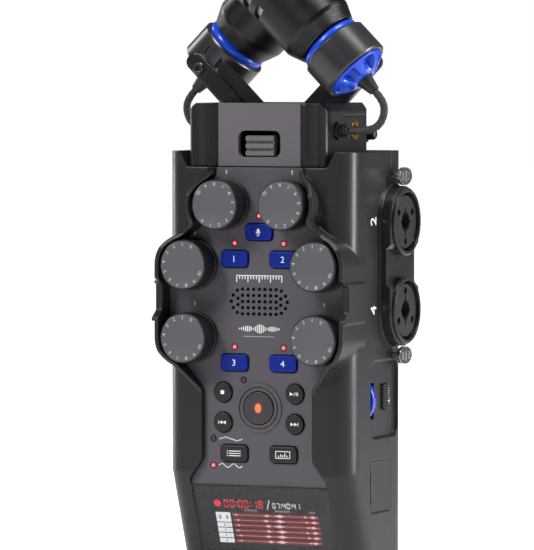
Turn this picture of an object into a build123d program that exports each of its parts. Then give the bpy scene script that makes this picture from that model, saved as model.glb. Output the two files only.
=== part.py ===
from build123d import *
import math
import os

# Portable field recorder with a crossed pair of microphones on a lift-off module.
# X points right, Y to the rear and Z up. The origin is under the middle of the recorder, on the
# surface it stands on. Millimetres.

# ---- Body ----
BODY_W = 66.0
BODY_H = 152.0
FACE_Y = -17.75  # surface of the front panel
REAR_Y = 27.45
SPLIT_Y = 13.6  # where the front and rear housings meet
LIP = 2.2  # height of the housing's lip in front of the panel
FRONT_R = 8.0
REAR_R = 9.5
REAR_TAPER_Z = 136.0  # above this height the rear leans forward
REAR_TAPER = 5.2
WALL = 2.0
GAP = 0.15
FRONT_Y = FACE_Y - LIP
HALF_W = BODY_W / 2
INSIDE_X = HALF_W - WALL

# ---- Capsule seat ----
SEAT_Z = 147.0
SEAT_HALF = 24.7
SEAT_TOP_HALF = 27.4
SEAT_BACK_Y = 15.55

# ---- Front panel, knobs and buttons ----
PANEL_T = 1.8
PANEL_LEDGE = 2.2
MIC_KNOBS = {"mic_knob_left": (-11.65, 134.9), "mic_knob_right": (11.65, 134.9)}
GAIN_KNOBS = {
    "gain_knob_1": (-23.0, 115.3),
    "gain_knob_2": (23.0, 115.3),
    "gain_knob_3": (-23.0, 91.6),
    "gain_knob_4": (23.0, 91.6),
}
KNOB_R = 8.15
KNOB_H = 9.1
KNOB_LIFT = 0.6  # gap between knob and panel
STEM_R = 2.95
BUSH_BORE_R = 3.0
BUSH_R = 3.5
GUARD_WALL = 1.3
GUARD_H = 9.0
GUARD_BACK_Y = -6.0
GUARD_WAIST_W = 68.6  # across the lips between the upper and lower gain knobs
GUARD_WAIST_H = 13.0
GUARD_OUT_X = HALF_W + 4
GUARD_RUN_Y = -15.5  # where the guard's outside starts to run back into the side
BLUE_KEYS = {
    "mic_button": (0, 126.0),
    "track_button_1": (-8.65, 117.2),
    "track_button_2": (8.65, 117.2),
    "track_button_3": (-8.65, 83.5),
    "track_button_4": (8.65, 83.5),
}
BLACK_KEYS = {"function_button_left": (-8.75, 54.0), "function_button_right": (8.75, 54.0)}
ROUND_KEYS = {
    "stop_button": (-12.75, 73.8),
    "play_button": (12.75, 73.8),
    "rewind_button": (-12.75, 64.0),
    "forward_button": (12.75, 64.0),
}
RECORD_KEY = (0, 68.9)
RECORD_R = 5.3
RECORD_RING_R = 8.0
ROUND_KEY_R = 3.15
KEY_W = 9.6
KEY_H = 5.3
KEY_CORNER = 1.4
KEY_PROUD = 0.9
KEY_GAP = 0.3
KEY_TRAVEL = 0.6
FLANGE = 0.8
LIGHTS = [
    (0, 131.2), (-8.7, 122.3), (8.7, 122.3), (-8.7, 88.6), (8.7, 88.6),
    (-5.5, 77.9), (-16.3, 58.6), (-16.3, 49.9),
]
LIGHT_R = 0.85
SPEAKER_Z = 103.4
SPEAKER_R = 9.9

# ---- Screen ----
SCREEN_TOP_Z = 43.0
SCREEN_TILT = 21.0  # from vertical, leaning back towards the bottom
SLOPE_LIFT = 0.5  # the slope lies this far in front of the lens
SLOPE_RUN_OUT = 1.0  # how far above its meeting with the front the slope still rounds the corners
LENS_W = 48.0
LENS_H = 38.0
LENS_T = 1.2
DISPLAY_W = 42.0
DISPLAY_H = 31.6
DISPLAY_TOP = 3.3  # below the lens's top edge

# ---- Jacks ----
JACK_Y = 15.0
JACK_Z = (128.9, 100.0)
JACK_FACE_X = 38.5
JACK_RING_R = 11.1
JACK_BODY_R = 10.3
JACK_BORE_R = 9.75
INSERT_R = 8.6
JACK_DEPTH = 23.0
PLUG_R = 3.25  # for a 6.35 mm plug
STAR_DEPTH = 1.4  # of the keyways round the plug's hole
PLATE_IN_X = 30.6
PLATE_LOW_X = 35.7  # plate's face between the two jacks
PLATE_HIGH_X = 37.4  # and around them
PLATE_STEP = 7.0  # from a jack's centre to the step between the two
PLATE_R = 11.7
SWELL = 0.7  # the housing stands round the plate by this much
SWELL_X = 34.3
LEVER_Z = (143.7, 85.2)
LEVER_Y = 15.6

# ---- Side controls ----
RECESS_X = 31.8
WHEEL_R = 8.5
WHEEL_X = 24.5
WHEEL_Y = 0.6
WHEEL_Z = 71.0
WHEEL_T = 2.6
AXLE_R = 1.0
KEY_SIDE_Y = 10.6
KEY_SIDE_W = 4.6
KEY_SIDE_Z = 72.0
COVER_Y = (-3.2, 13.0)
COVER_Z = (34.8, 51.4)
COVER_IN_X = 31.4

# ---- Power ----
CELL_R = 7.1
CELL_H = 50.5
CELL_PITCH = 14.6
CELL_Y = 17.4
CELL_Z = 6.6
DOOR_HALF = 27.0
DOOR_Z = (5.0, 61.0)
DOOR_Y = 25.45
BUSH_Z = 76.0
TRIPOD_R = 3.175
SCREWS = [(-8.0, 133.6), (8.0, 133.6), (-27.3, 63.6), (27.3, 63.6)]

# ---- Microphone module ----
MODULE_Z = 147.3
MODULE_TOP = 167.7
MODULE_HALF = 24.4
MODULE_BACK_Y = 15.25
MODULE_CHAMFER = 2.5
MODULE_FRONT_R = 2.3
MODULE_WALL = 1.8
PLATE_HALF = 14.6
LIP_X = 17.5  # crest of the lips beside the front plate
COVE_X = 20.0
COVE_R = 3.7
LATCH_Z = 154.5
MID_Y = 1.75  # the vertical axis that the two microphones share
MIC_X = 27.5
MIC_Y = MID_Y - 13.0
MIC_Z = 182.0
RING_R = 11.65
RING_IN_R = 10.2
RING_HALF = 5.7
NECK_R = 8.6
BARREL_R = 12.7
BARREL_END = 50.0
LEAD_R = 1.25
PLUG_HALF = 8.0
PLUG_Y = (-1.0, 7.0)

# ---- Small fittings ----
KEY_BACK = 3.6  # how far a button reaches behind the panel's surface
POT_Y = (FACE_Y + 4.0, FACE_Y + 10.4)
BOARD_T = 1.6
MAIN_BOARD_Y = -1.9
GRILLE_HOLE_R = 0.6
PIN_CIRCLE_R = 6.4
PIN_HOLE_R = 1.2
LEVER_X = 36.2
LEVER_T = 1.2
LEVER_W = 10.4
LEVER_H = 5.8
LEVER_STEM_W = 3.0
LEVER_STEM_T = 1.2
LEVER_STEM_L = 8.0
CARD_X = (17.0, 30.8)
SOCKET_Y = 1.0
PHONE_Z = 62.0
PHONE_R = 1.8
PHONE_RING_R = 3.4
USB_Z = 46.0
SWITCH_Y = 6.0
SWITCH_Z = 24.0
BUSH_OUT_R = 5.0
TRIPOD_DEPTH = 8.0
SCREW_R = 1.0
SCREW_HEAD_R = 2.0
LATCH_HOLE_W = 14.9
LATCH_HOLE_H = 8.6
LATCH_SLOT_W = 17.0
LATCH_SLOT_H = 11.0
LATCH_W = 10.0
LATCH_H = 6.8
SEAM_Z = 163.4
LINE_IN_Y = 3.25
LINE_IN_Z = 158.8
LINE_IN_R = 3.2
RELEASE_Y = 17.2
RELEASE_Z = 157.3
RELEASE_R = 1.85
RELEASE_X = (18.0, 26.2)
BOSS_R = 2.7
BOSS_X = (12.0, 22.8)
SLOT_ROWS = (28.0, 33.4, 38.8)
SLOT_W = 2.6
SLOT_TURN = 80
ARM_W = 6.0
ARM_T = 2.6
ARM_FLANGE_W = 4.5
GLAND_TIP = 14.5
SIDE_GLAND_L = 4.4
SIDE_GLAND_Z = 158.8

grille_spots = [(x, z) for x in (-6, -4, -2, 0, 2, 4, 6) for z in (-4, -2, 0, 2, 4)]
grille_spots += [(a * x, b * z) for x, z in ((7.85, 3.6), (9.3, 2.0), (7.6, 1.05))
                 for a in (-1, 1) for b in (-1, 1)]
grille_spots += [(-9.95, 0), (9.95, 0)]

os.makedirs("parts", exist_ok=True)


def at_y(y):
    """Sketch plane that faces the front: its X runs right and its Y up."""
    return Plane.XZ.offset(-y)


def at_x(x):
    """Sketch plane that faces right: its X runs to the rear and its Y up."""
    return Plane.YZ.offset(x)


def write(name, builder):
    """Label a finished piece and write it under its own name."""
    builder.part.label = name
    export_step(builder.part, f"parts/{name}.step")


def centre_x(line):
    """Mirror a right-hand outline, given from top to bottom, into a closed symmetrical one."""
    return line + [(-x, z) for x, z in reversed(line)]


# ---- Outlines that several pieces share ----

with BuildSketch() as panel_outline:
    Polygon(*centre_x([
        (15.4, SEAT_Z + 1), (15.4, 133.0), (20.6, 127.6), (26.0, 123.6), (32.0, 115.3), (32.0, 91.6),
        (27.0, 83.6), (19.6, 75.0), (19.6, 52.0), (24.2, 45.5), (24.2, SCREEN_TOP_Z + 0.4),
    ]), align=None)
    with Locations(*MIC_KNOBS.values()):
        Circle(9.7)
    with Locations(*GAIN_KNOBS.values()):
        Circle(9.0)
    offset(amount=3.0)
    offset(amount=-3.0)

with BuildSketch() as jack_outline:
    with Locations((JACK_Y, sum(JACK_Z) / 2)):
        SlotCenterToCenter(JACK_Z[0] - JACK_Z[1], 2 * PLATE_R, rotation=90)

seat_outline = centre_x([
    (SEAT_TOP_HALF + 0.7, BODY_H + 1), (SEAT_TOP_HALF, BODY_H - 0.5), (SEAT_HALF, SEAT_Z),
])

tilt = math.radians(SCREEN_TILT)
screen_plane = Plane(
    origin=(0, FACE_Y, SCREEN_TOP_Z), x_dir=(1, 0, 0), z_dir=(0, -math.cos(tilt), -math.sin(tilt))
)


def slope_y(z, depth):
    """Y of the sloping screen front at height z, moved back by depth."""
    return FACE_Y + depth + (SCREEN_TOP_Z - z) * math.tan(tilt)


def slope_space(depth, top_z, half, radius):
    """Everything below top_z that is outside a bar behind the screen slope. The bar is twice half
    wide, its front lies depth behind the slope and its front edges are rounded."""
    middle_z = 20.0
    bar_depth = 120.0
    with BuildPart() as space:
        with BuildSketch(Plane.XY.offset(-10)):
            with Locations((0, -20)):
                Rectangle(BODY_W + 20, 120)
        extrude(amount=top_z + 10)
        with BuildSketch(Plane(
            origin=(0, slope_y(middle_z, depth), middle_z), x_dir=(1, 0, 0),
            z_dir=(0, math.sin(tilt), -math.cos(tilt)),
        )):
            with Locations((0, -bar_depth / 2)):
                RectangleRounded(2 * half, bar_depth, radius)
        extrude(amount=80, both=True, mode=Mode.SUBTRACT)
    return space.part


def rear_taper(depth):
    """Outline, seen from the side, of the space behind the leaning top of the rear, moved forward
    by depth."""
    start_z = REAR_TAPER_Z - 2 * depth
    return [
        (REAR_Y - depth, start_z), (REAR_Y - depth - REAR_TAPER, BODY_H + 1),
        (REAR_Y + 1, BODY_H + 1), (REAR_Y + 1, start_z),
    ]


with BuildPart() as jack_swell:
    with BuildSketch(at_x(HALF_W - 11)):
        add(jack_outline.sketch)
        offset(amount=SWELL)
    extrude(amount=SWELL_X - HALF_W + 11)
    chamfer(jack_swell.faces().sort_by(Axis.X)[-1].edges(), 0.5)
    mirror(about=Plane.YZ)


def jack_openings():
    """Room for the jack plates and their shells in one half of the housing."""
    with BuildPart() as room:
        with BuildSketch(at_x(PLATE_IN_X - GAP)):
            add(jack_outline.sketch)
            offset(amount=GAP)
        extrude(amount=10)
        with BuildSketch(at_x(HALF_W - 24)):
            with Locations(*[(JACK_Y, z) for z in JACK_Z]):
                Circle(JACK_BODY_R + GAP)
        extrude(amount=24)
        mirror(about=Plane.YZ)
    return room.part


# ---- Front housing ----

with BuildPart() as guard_wall:
    with BuildSketch(at_y(GUARD_BACK_Y)):
        add(panel_outline.sketch)
        offset(amount=GUARD_WALL)
        with Locations((0, sum(z for x, z in GAIN_KNOBS.values()) / 4)):
            Rectangle(GUARD_WAIST_W, GUARD_WAIST_H)
    extrude(amount=GUARD_BACK_Y - FACE_Y + GUARD_H)
    # The wall runs out into the housing's side.
    with BuildSketch(Plane.XY.offset(60)):
        for side in (-1, 1):
            Polygon(
                (side * (HALF_W - 0.4), GUARD_BACK_Y + 1), (side * GUARD_OUT_X, GUARD_BACK_Y + 1),
                (side * GUARD_OUT_X, GUARD_RUN_Y), (side * (HALF_W - 0.4), GUARD_BACK_Y - 1), align=None,
            )
    extrude(amount=90, mode=Mode.SUBTRACT)
    with BuildSketch(at_x(-HALF_W - 5)):
        with BuildLine():
            Polyline(
                (GUARD_BACK_Y, 60.0), (FRONT_Y, 60.0), (FRONT_Y, 74.0), (FACE_Y - GUARD_H, 87.0),
                (FACE_Y - GUARD_H, 98.0), (FACE_Y - 5.8, 100.4), (FACE_Y - 5.8, 108.6),
                (FACE_Y - GUARD_H, 111.0), (FACE_Y - GUARD_H, 121.0), (FACE_Y - 6.4, 125.5),
                (FACE_Y - 8.6, 130.5), (FACE_Y - 8.6, 138.0), (FRONT_Y, 146.0),
                (GUARD_BACK_Y, 146.0), close=True,
            )
        make_face()
    extrude(amount=BODY_W + 10, mode=Mode.INTERSECT)

with BuildPart() as front_cavity:
    with BuildSketch(Plane.XY.offset(WALL)) as cavity_section:
        with Locations((0, (FACE_Y + PANEL_T + WALL + SPLIT_Y) / 2)):
            Rectangle(2 * INSIDE_X, SPLIT_Y - FACE_Y - PANEL_T - WALL)
        fillet(cavity_section.vertices().group_by(Axis.Y)[0], FRONT_R - 4)
    extrude(amount=SEAT_Z - 2 * WALL)
    with BuildSketch(at_y(0)):
        with Locations((0, 103.5)):
            Rectangle(2 * INSIDE_X, 39.0)
    extrude(amount=-FACE_Y - PANEL_T - WALL)
    add(slope_space(LENS_T + 1.2, SCREEN_TOP_Z + 3.0, INSIDE_X, FRONT_R - WALL), mode=Mode.SUBTRACT)

with BuildPart() as front_housing:
    with BuildSketch(Plane.XY) as body_section:
        with Locations((0, (FRONT_Y + SPLIT_Y) / 2)):
            Rectangle(BODY_W, SPLIT_Y - FRONT_Y)
        fillet(body_section.vertices().group_by(Axis.Y)[0], FRONT_R)
    extrude(amount=BODY_H)
    add(guard_wall.part)
    add(slope_space(-SLOPE_LIFT, SCREEN_TOP_Z + (LIP - SLOPE_LIFT) / math.tan(tilt) + SLOPE_RUN_OUT,
                    HALF_W, FRONT_R), mode=Mode.SUBTRACT)
    add(jack_swell.part)
    with BuildSketch(at_y(REAR_Y + 1)):
        with Locations((0, BODY_H / 2)):
            Rectangle(2 * BODY_W, 2 * BODY_H)
    extrude(amount=REAR_Y + 1 - SPLIT_Y, mode=Mode.SUBTRACT)
    with BuildSketch(at_y(SPLIT_Y)):
        Polygon(*seat_outline, align=None)
    extrude(amount=BODY_W, mode=Mode.SUBTRACT)
    with BuildSketch(at_y(FACE_Y + PANEL_T)):
        add(panel_outline.sketch)
    extrude(amount=PANEL_T + GUARD_H + 1, mode=Mode.SUBTRACT)
    with BuildSketch(at_y(FACE_Y + PANEL_T + WALL)):
        add(panel_outline.sketch)
        offset(amount=-PANEL_LEDGE)
    extrude(amount=WALL + 1, mode=Mode.SUBTRACT)
    add(front_cavity.part, mode=Mode.SUBTRACT)
    # Window for the screen: a pocket for the lens and an opening for the display.
    with BuildSketch(screen_plane.offset(-LENS_T)):
        with Locations((0, -LENS_H / 2)):
            RectangleRounded(LENS_W + 2 * GAP, LENS_H + 2 * GAP, 1.2)
    extrude(amount=LENS_T + 4, mode=Mode.SUBTRACT)
    with BuildSketch(screen_plane):
        with Locations((0, -DISPLAY_TOP - DISPLAY_H / 2)):
            Rectangle(DISPLAY_W + 1, DISPLAY_H + 1)
    extrude(amount=-2 * WALL, mode=Mode.SUBTRACT)
    with BuildSketch(screen_plane.offset(-LENS_T - 1.2)):
        with Locations((0, -DISPLAY_TOP - DISPLAY_H / 2)):
            Rectangle(DISPLAY_W + 3.2, DISPLAY_H + 3.6)
    extrude(amount=-4.0, mode=Mode.SUBTRACT)
    # Opening for the connector of the microphone module.
    with BuildSketch(Plane.XY.offset(SEAT_Z - 2 * WALL)):
        with Locations((0, sum(PLUG_Y) / 2)):
            Rectangle(2 * PLUG_HALF + 1, PLUG_Y[1] - PLUG_Y[0] + 1)
    extrude(amount=2 * WALL + 1, mode=Mode.SUBTRACT)
    add(jack_openings(), mode=Mode.SUBTRACT)
    # The lips at the top are hollowed towards the panel, in line with the module's.
    with BuildSketch(Plane.XY.offset(SEAT_Z - 5.0)):
        for side in (-1, 1):
            Polygon((side * 15.0, FACE_Y), (side * LIP_X, FRONT_Y - 0.1), (side * 15.0, FRONT_Y - 0.1),
                    align=None)
    extrude(amount=6, mode=Mode.SUBTRACT)
    # Recess for the wheel and the enter key, with a slot for each.
    with BuildSketch(at_x(RECESS_X)):
        with Locations(((-3.4 + SPLIT_Y) / 2 + 3, 71.3)):
            RectangleRounded(SPLIT_Y + 9.4, 25.0, 4.0)
    extrude(amount=4, mode=Mode.SUBTRACT)
    with BuildSketch(at_x(WHEEL_X - WHEEL_R)):
        with Locations((WHEEL_Y, WHEEL_Z)):
            Rectangle(WHEEL_T + 0.8, 11.6)
        with Locations((KEY_SIDE_Y, KEY_SIDE_Z)):
            Rectangle(KEY_SIDE_W + 0.5, 8.3)
    extrude(amount=20, mode=Mode.SUBTRACT)
    # Ears that carry the wheel's axle.
    with BuildSketch(at_y(WHEEL_Y + 4.2)):
        with Locations(((WHEEL_X + INSIDE_X) / 2 - 1, WHEEL_Z)):
            Rectangle(INSIDE_X - WHEEL_X + 2.6, 4.4)
    extrude(amount=8.4)
    with BuildSketch(at_y(WHEEL_Y + WHEEL_T / 2 + 0.4)):
        with Locations((WHEEL_X, WHEEL_Z)):
            Circle(WHEEL_R + 0.6)
    extrude(amount=WHEEL_T + 0.8, mode=Mode.SUBTRACT)
    with BuildSketch(at_y(WHEEL_Y + 6)):
        with Locations((WHEEL_X, WHEEL_Z)):
            Circle(AXLE_R + 0.05)
    extrude(amount=12, mode=Mode.SUBTRACT)
    # Pocket for the card cover, with the way in to the card socket.
    with BuildSketch(at_x(COVER_IN_X)):
        with Locations((sum(COVER_Y) / 2, sum(COVER_Z) / 2)):
            RectangleRounded(COVER_Y[1] - COVER_Y[0] + 2 * GAP, COVER_Z[1] - COVER_Z[0] + 2 * GAP, 1.0)
    extrude(amount=4, mode=Mode.SUBTRACT)
    with BuildSketch(at_x(INSIDE_X - 1)):
        with Locations((sum(COVER_Y) / 2, sum(COVER_Z) / 2)):
            Rectangle(6.0, 12.6)
    extrude(amount=4, mode=Mode.SUBTRACT)
    # Left side: openings for the power switch and for the phone and USB sockets.
    with BuildSketch(at_x(-HALF_W - 2)):
        with Locations((SWITCH_Y, SWITCH_Z)):
            Rectangle(3.4, 8.4)
        with Locations((SOCKET_Y, PHONE_Z)):
            Circle(PHONE_RING_R + 0.1)
        with Locations((SOCKET_Y, USB_Z)):
            RectangleRounded(3.4 + 0.2, 9.2 + 0.2, 1.5)
    extrude(amount=6, mode=Mode.SUBTRACT)
    # Blocks that the housing screws bite into.
    with BuildSketch(at_y(SPLIT_Y)):
        with Locations(SCREWS[0], SCREWS[1]):
            Rectangle(5.6, 2 * (SEAT_Z - WALL - SCREWS[0][1]))
        with Locations((-28.5, SCREWS[2][1]), (28.5, SCREWS[3][1])):
            Rectangle(5.6, 5.0)
    extrude(amount=3.6)
    with BuildSketch(at_y(SPLIT_Y)):
        with Locations(*SCREWS):
            Circle(SCREW_R)
    extrude(amount=3.6, mode=Mode.SUBTRACT)
write("front_housing", front_housing)

# ---- Rear housing and battery door ----

with BuildPart() as rear_shape:
    with BuildSketch(Plane.XY) as rear_section:
        with Locations((0, (SPLIT_Y + REAR_Y) / 2)):
            Rectangle(BODY_W, REAR_Y - SPLIT_Y)
        fillet(rear_section.vertices().group_by(Axis.Y)[-1], REAR_R)
    extrude(amount=BODY_H)
    with BuildSketch(at_x(-HALF_W - 1)):
        Polygon(*rear_taper(0), align=None)
    extrude(amount=BODY_W + 2, mode=Mode.SUBTRACT)

with BuildPart() as rear_room:
    with BuildSketch(Plane.XY.offset(WALL)) as room_section:
        with Locations((0, (SPLIT_Y + REAR_Y - WALL) / 2)):
            Rectangle(2 * INSIDE_X, REAR_Y - WALL - SPLIT_Y)
        fillet(room_section.vertices().group_by(Axis.Y)[-1], REAR_R - WALL)
    extrude(amount=SEAT_Z - 2 * WALL)
    with BuildSketch(at_x(-HALF_W - 1)):
        Polygon(*rear_taper(WALL + 0.2), align=None)
    extrude(amount=BODY_W + 2, mode=Mode.SUBTRACT)

with BuildPart() as rear_housing:
    add(rear_shape.part)
    add(jack_swell.part)
    with BuildSketch(at_y(SPLIT_Y)):
        with Locations((0, BODY_H / 2)):
            Rectangle(2 * BODY_W, 2 * BODY_H)
    extrude(amount=BODY_W, mode=Mode.SUBTRACT)
    with BuildSketch(at_y(SEAT_BACK_Y)):
        Polygon(*seat_outline, align=None)
    extrude(amount=BODY_W, mode=Mode.SUBTRACT)
    add(rear_room.part, mode=Mode.SUBTRACT)
    add(jack_openings(), mode=Mode.SUBTRACT)
    # Slots for the jack release levers.
    with BuildSketch(at_x(-HALF_W - 3)):
        with Locations(*[(LEVER_Y, z) for z in LEVER_Z]):
            Rectangle(LEVER_STEM_W + 0.6, LEVER_STEM_T + 0.6)
    extrude(amount=BODY_W + 6, mode=Mode.SUBTRACT)
    # The recess around the wheel runs back to the rear corner.
    with BuildSketch(at_x(RECESS_X)):
        with Locations(((-3.4 + SPLIT_Y) / 2 + 3, 71.3)):
            RectangleRounded(SPLIT_Y + 9.4, 25.0, 4.0)
    extrude(amount=4, mode=Mode.SUBTRACT)
    with BuildSketch(at_y(REAR_Y + 1)):
        with Locations((0, sum(DOOR_Z) / 2)):
            Rectangle(2 * DOOR_HALF, DOOR_Z[1] - DOOR_Z[0])
    extrude(amount=REAR_Y + 1 - DOOR_Y + 0.5, mode=Mode.SUBTRACT)
    # Screw posts and the seat of the tripod bush.
    with BuildSketch(at_y(REAR_Y - WALL)):
        with Locations(*SCREWS):
            Circle(2.6)
        with Locations((0, BUSH_Z)):
            Circle(BUSH_OUT_R + 2.0)
    extrude(amount=REAR_Y - WALL - SPLIT_Y)
    with BuildSketch(at_y(REAR_Y - 2.6)):
        with Locations(*SCREWS):
            Circle(SCREW_HEAD_R + 0.1)
    extrude(amount=-5, mode=Mode.SUBTRACT)
    with BuildSketch(at_y(REAR_Y)):
        with Locations(*SCREWS):
            Circle(SCREW_R)
        with Locations((0, BUSH_Z)):
            Circle(BUSH_OUT_R)
    extrude(amount=BODY_W, mode=Mode.SUBTRACT)
write("rear_housing", rear_housing)

with BuildPart() as battery_door:
    with BuildSketch(at_y(REAR_Y + 1)):
        with Locations((0, sum(DOOR_Z) / 2)):
            Rectangle(2 * (DOOR_HALF - GAP), DOOR_Z[1] - DOOR_Z[0] - 2 * GAP)
    extrude(amount=REAR_Y + 1 - DOOR_Y)
    add(rear_shape.part, mode=Mode.INTERSECT)
    # Ribbed finger grip at the top of the door.
    with BuildSketch(at_y(REAR_Y)):
        with Locations(*[(0, DOOR_Z[1] - 5 - 1.6 * i) for i in range(4)]):
            Rectangle(14.0, 0.8)
    extrude(amount=0.5, mode=Mode.SUBTRACT)
write("battery_door", battery_door)

# ---- Front panel ----

with BuildPart() as front_panel:
    with BuildSketch(at_y(FACE_Y + PANEL_T)):
        add(panel_outline.sketch)
        offset(amount=-0.1)
        with Locations((0, SEAT_Z + 5 - 0.1)):
            Rectangle(BODY_W, 10, mode=Mode.SUBTRACT)
    extrude(amount=PANEL_T)
    # Raised double ring round the record button.
    with BuildSketch(at_y(FACE_Y)):
        with Locations(RECORD_KEY):
            Circle(RECORD_RING_R)
            Circle(RECORD_RING_R - 0.9, mode=Mode.SUBTRACT)
            Circle(RECORD_R + 1.1)
    extrude(amount=0.5)
    with BuildSketch(at_y(FACE_Y + PANEL_T)):
        with Locations(*MIC_KNOBS.values(), *GAIN_KNOBS.values()):
            Circle(BUSH_R + 0.1)
        with Locations(*BLUE_KEYS.values(), *BLACK_KEYS.values()):
            RectangleRounded(KEY_W + 2 * KEY_GAP, KEY_H + 2 * KEY_GAP, KEY_CORNER + KEY_GAP)
        with Locations(*ROUND_KEYS.values()):
            Circle(ROUND_KEY_R + KEY_GAP)
        with Locations(RECORD_KEY):
            Circle(RECORD_R + KEY_GAP)
        with Locations(*LIGHTS):
            Circle(LIGHT_R + 0.05)
        with Locations(*[(x, SPEAKER_Z + z) for x, z in grille_spots]):
            Circle(GRILLE_HOLE_R)
    extrude(amount=PANEL_T + 1, mode=Mode.SUBTRACT)
write("front_panel", front_panel)

# ---- Knobs and buttons ----


def make_knob(name, spot):
    """A gain knob with a skirt and a stem that turns in the potentiometer's bush."""
    with BuildPart() as knob:
        with BuildSketch(at_y(FACE_Y - KNOB_LIFT)):
            with Locations(spot):
                Circle(KNOB_R)
        extrude(amount=KNOB_H)
        fillet(knob.edges().sort_by(Axis.Y)[0], 0.5)
        with BuildSketch(at_y(FACE_Y - KNOB_LIFT)):
            with Locations(spot):
                Circle(KNOB_R + 0.35)
        extrude(amount=1.4)
        with BuildSketch(at_y(FACE_Y + 4.5)):
            with Locations(spot):
                Circle(STEM_R)
        extrude(amount=4.5 + KNOB_LIFT)
    write(name, knob)


for name, spot in {**MIC_KNOBS, **GAIN_KNOBS}.items():
    make_knob(name, spot)


def make_key(name, spot, outline, flange):
    """A button: a cap through the panel and a flange that keeps it in from behind."""
    with BuildPart() as key:
        with BuildSketch(at_y(FACE_Y + KEY_BACK)):
            with Locations(spot):
                add(outline)
        extrude(amount=KEY_BACK + KEY_PROUD)
        fillet(key.faces().sort_by(Axis.Y)[0].edges(), 0.35)
        with BuildSketch(at_y(FACE_Y + KEY_BACK)):
            with Locations(spot):
                add(flange)
        extrude(amount=KEY_BACK - PANEL_T - 0.1)
    write(name, key)


with BuildSketch() as key_outline:
    RectangleRounded(KEY_W, KEY_H, KEY_CORNER)
with BuildSketch() as key_flange:
    RectangleRounded(KEY_W + 2 * FLANGE, KEY_H + 2 * FLANGE, KEY_CORNER)
with BuildSketch() as round_outline:
    Circle(ROUND_KEY_R)
with BuildSketch() as round_flange:
    Circle(ROUND_KEY_R + FLANGE)
with BuildSketch() as record_outline:
    Circle(RECORD_R)
with BuildSketch() as record_flange:
    Circle(RECORD_R + FLANGE)

for name, spot in {**BLUE_KEYS, **BLACK_KEYS}.items():
    make_key(name, spot, key_outline.sketch, key_flange.sketch)
for name, spot in ROUND_KEYS.items():
    make_key(name, spot, round_outline.sketch, round_flange.sketch)
make_key("record_button", RECORD_KEY, record_outline.sketch, record_flange.sketch)

with BuildPart() as status_leds:
    with BuildSketch(at_y(FACE_Y + PANEL_T + 1.2)):
        with Locations(*LIGHTS):
            Circle(LIGHT_R)
    extrude(amount=PANEL_T + 1.2)
write("status_leds", status_leds)

# ---- Screen ----

with BuildPart() as screen_lens:
    with BuildSketch(screen_plane):
        with Locations((0, -LENS_H / 2)):
            RectangleRounded(LENS_W, LENS_H, 1.0)
    extrude(amount=-LENS_T)
write("screen_lens", screen_lens)

with BuildPart() as lcd_module:
    with BuildSketch(screen_plane.offset(-LENS_T - 1.4)):
        with Locations((0, -DISPLAY_TOP - DISPLAY_H / 2)):
            Rectangle(DISPLAY_W + 2.6, DISPLAY_H + 3.0)
    extrude(amount=-2.4)
write("lcd_module", lcd_module)

# ---- Electronics behind the panel ----

SPOTS = [*BLUE_KEYS.values(), *BLACK_KEYS.values(), *ROUND_KEYS.values(), RECORD_KEY]

with BuildPart() as potentiometers:
    with BuildSketch(at_y(POT_Y[1])):
        with Locations(*MIC_KNOBS.values(), *GAIN_KNOBS.values()):
            Rectangle(10.6, 10.6)
    extrude(amount=POT_Y[1] - POT_Y[0])
    with BuildSketch(at_y(POT_Y[0])):
        with Locations(*MIC_KNOBS.values(), *GAIN_KNOBS.values()):
            Circle(BUSH_R)
    extrude(amount=POT_Y[0] - FACE_Y)
    with BuildSketch(at_y(FACE_Y + 5.0)):
        with Locations(*MIC_KNOBS.values(), *GAIN_KNOBS.values()):
            Circle(BUSH_BORE_R)
    extrude(amount=5.0, mode=Mode.SUBTRACT)
write("potentiometers", potentiometers)

with BuildPart() as control_board:
    with BuildSketch(at_y(POT_Y[1] + BOARD_T)):
        with Locations((0, 95.5)):
            Rectangle(54.0, 92.0)
    extrude(amount=BOARD_T)
write("control_board", control_board)

with BuildPart() as tact_switches:
    with BuildSketch(at_y(POT_Y[1])):
        with Locations(*SPOTS):
            Rectangle(5.2, 5.2)
    extrude(amount=3.0)
    with BuildSketch(at_y(POT_Y[1])):
        with Locations(*SPOTS):
            Circle(1.6)
    extrude(amount=POT_Y[1] - FACE_Y - KEY_BACK - KEY_TRAVEL - 0.3)
write("tact_switches", tact_switches)

with BuildPart() as speaker:
    with BuildSketch(at_y(FACE_Y + PANEL_T + 4.2)):
        with Locations((0, SPEAKER_Z)):
            Circle(SPEAKER_R)
    extrude(amount=4.0)
    with BuildSketch(at_y(FACE_Y + PANEL_T + 1.4)):
        with Locations((0, SPEAKER_Z)):
            Circle(SPEAKER_R - 1.5)
    extrude(amount=1.4, taper=-20, mode=Mode.SUBTRACT)
write("speaker", speaker)

with BuildPart() as main_board:
    with BuildSketch(at_y(MAIN_BOARD_Y)):
        with Locations((-1, 84.0)):
            Rectangle(34.0, 76.0)
    extrude(amount=BOARD_T)
    with BuildSketch(at_y(MAIN_BOARD_Y)):
        with Locations((-8, 100), (-8, 66)):
            Rectangle(12.0, 12.0)
        with Locations((6, 84)):
            Rectangle(9.0, 14.0)
    extrude(amount=-1.4)
write("main_board", main_board)

# ---- Jacks ----

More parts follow.
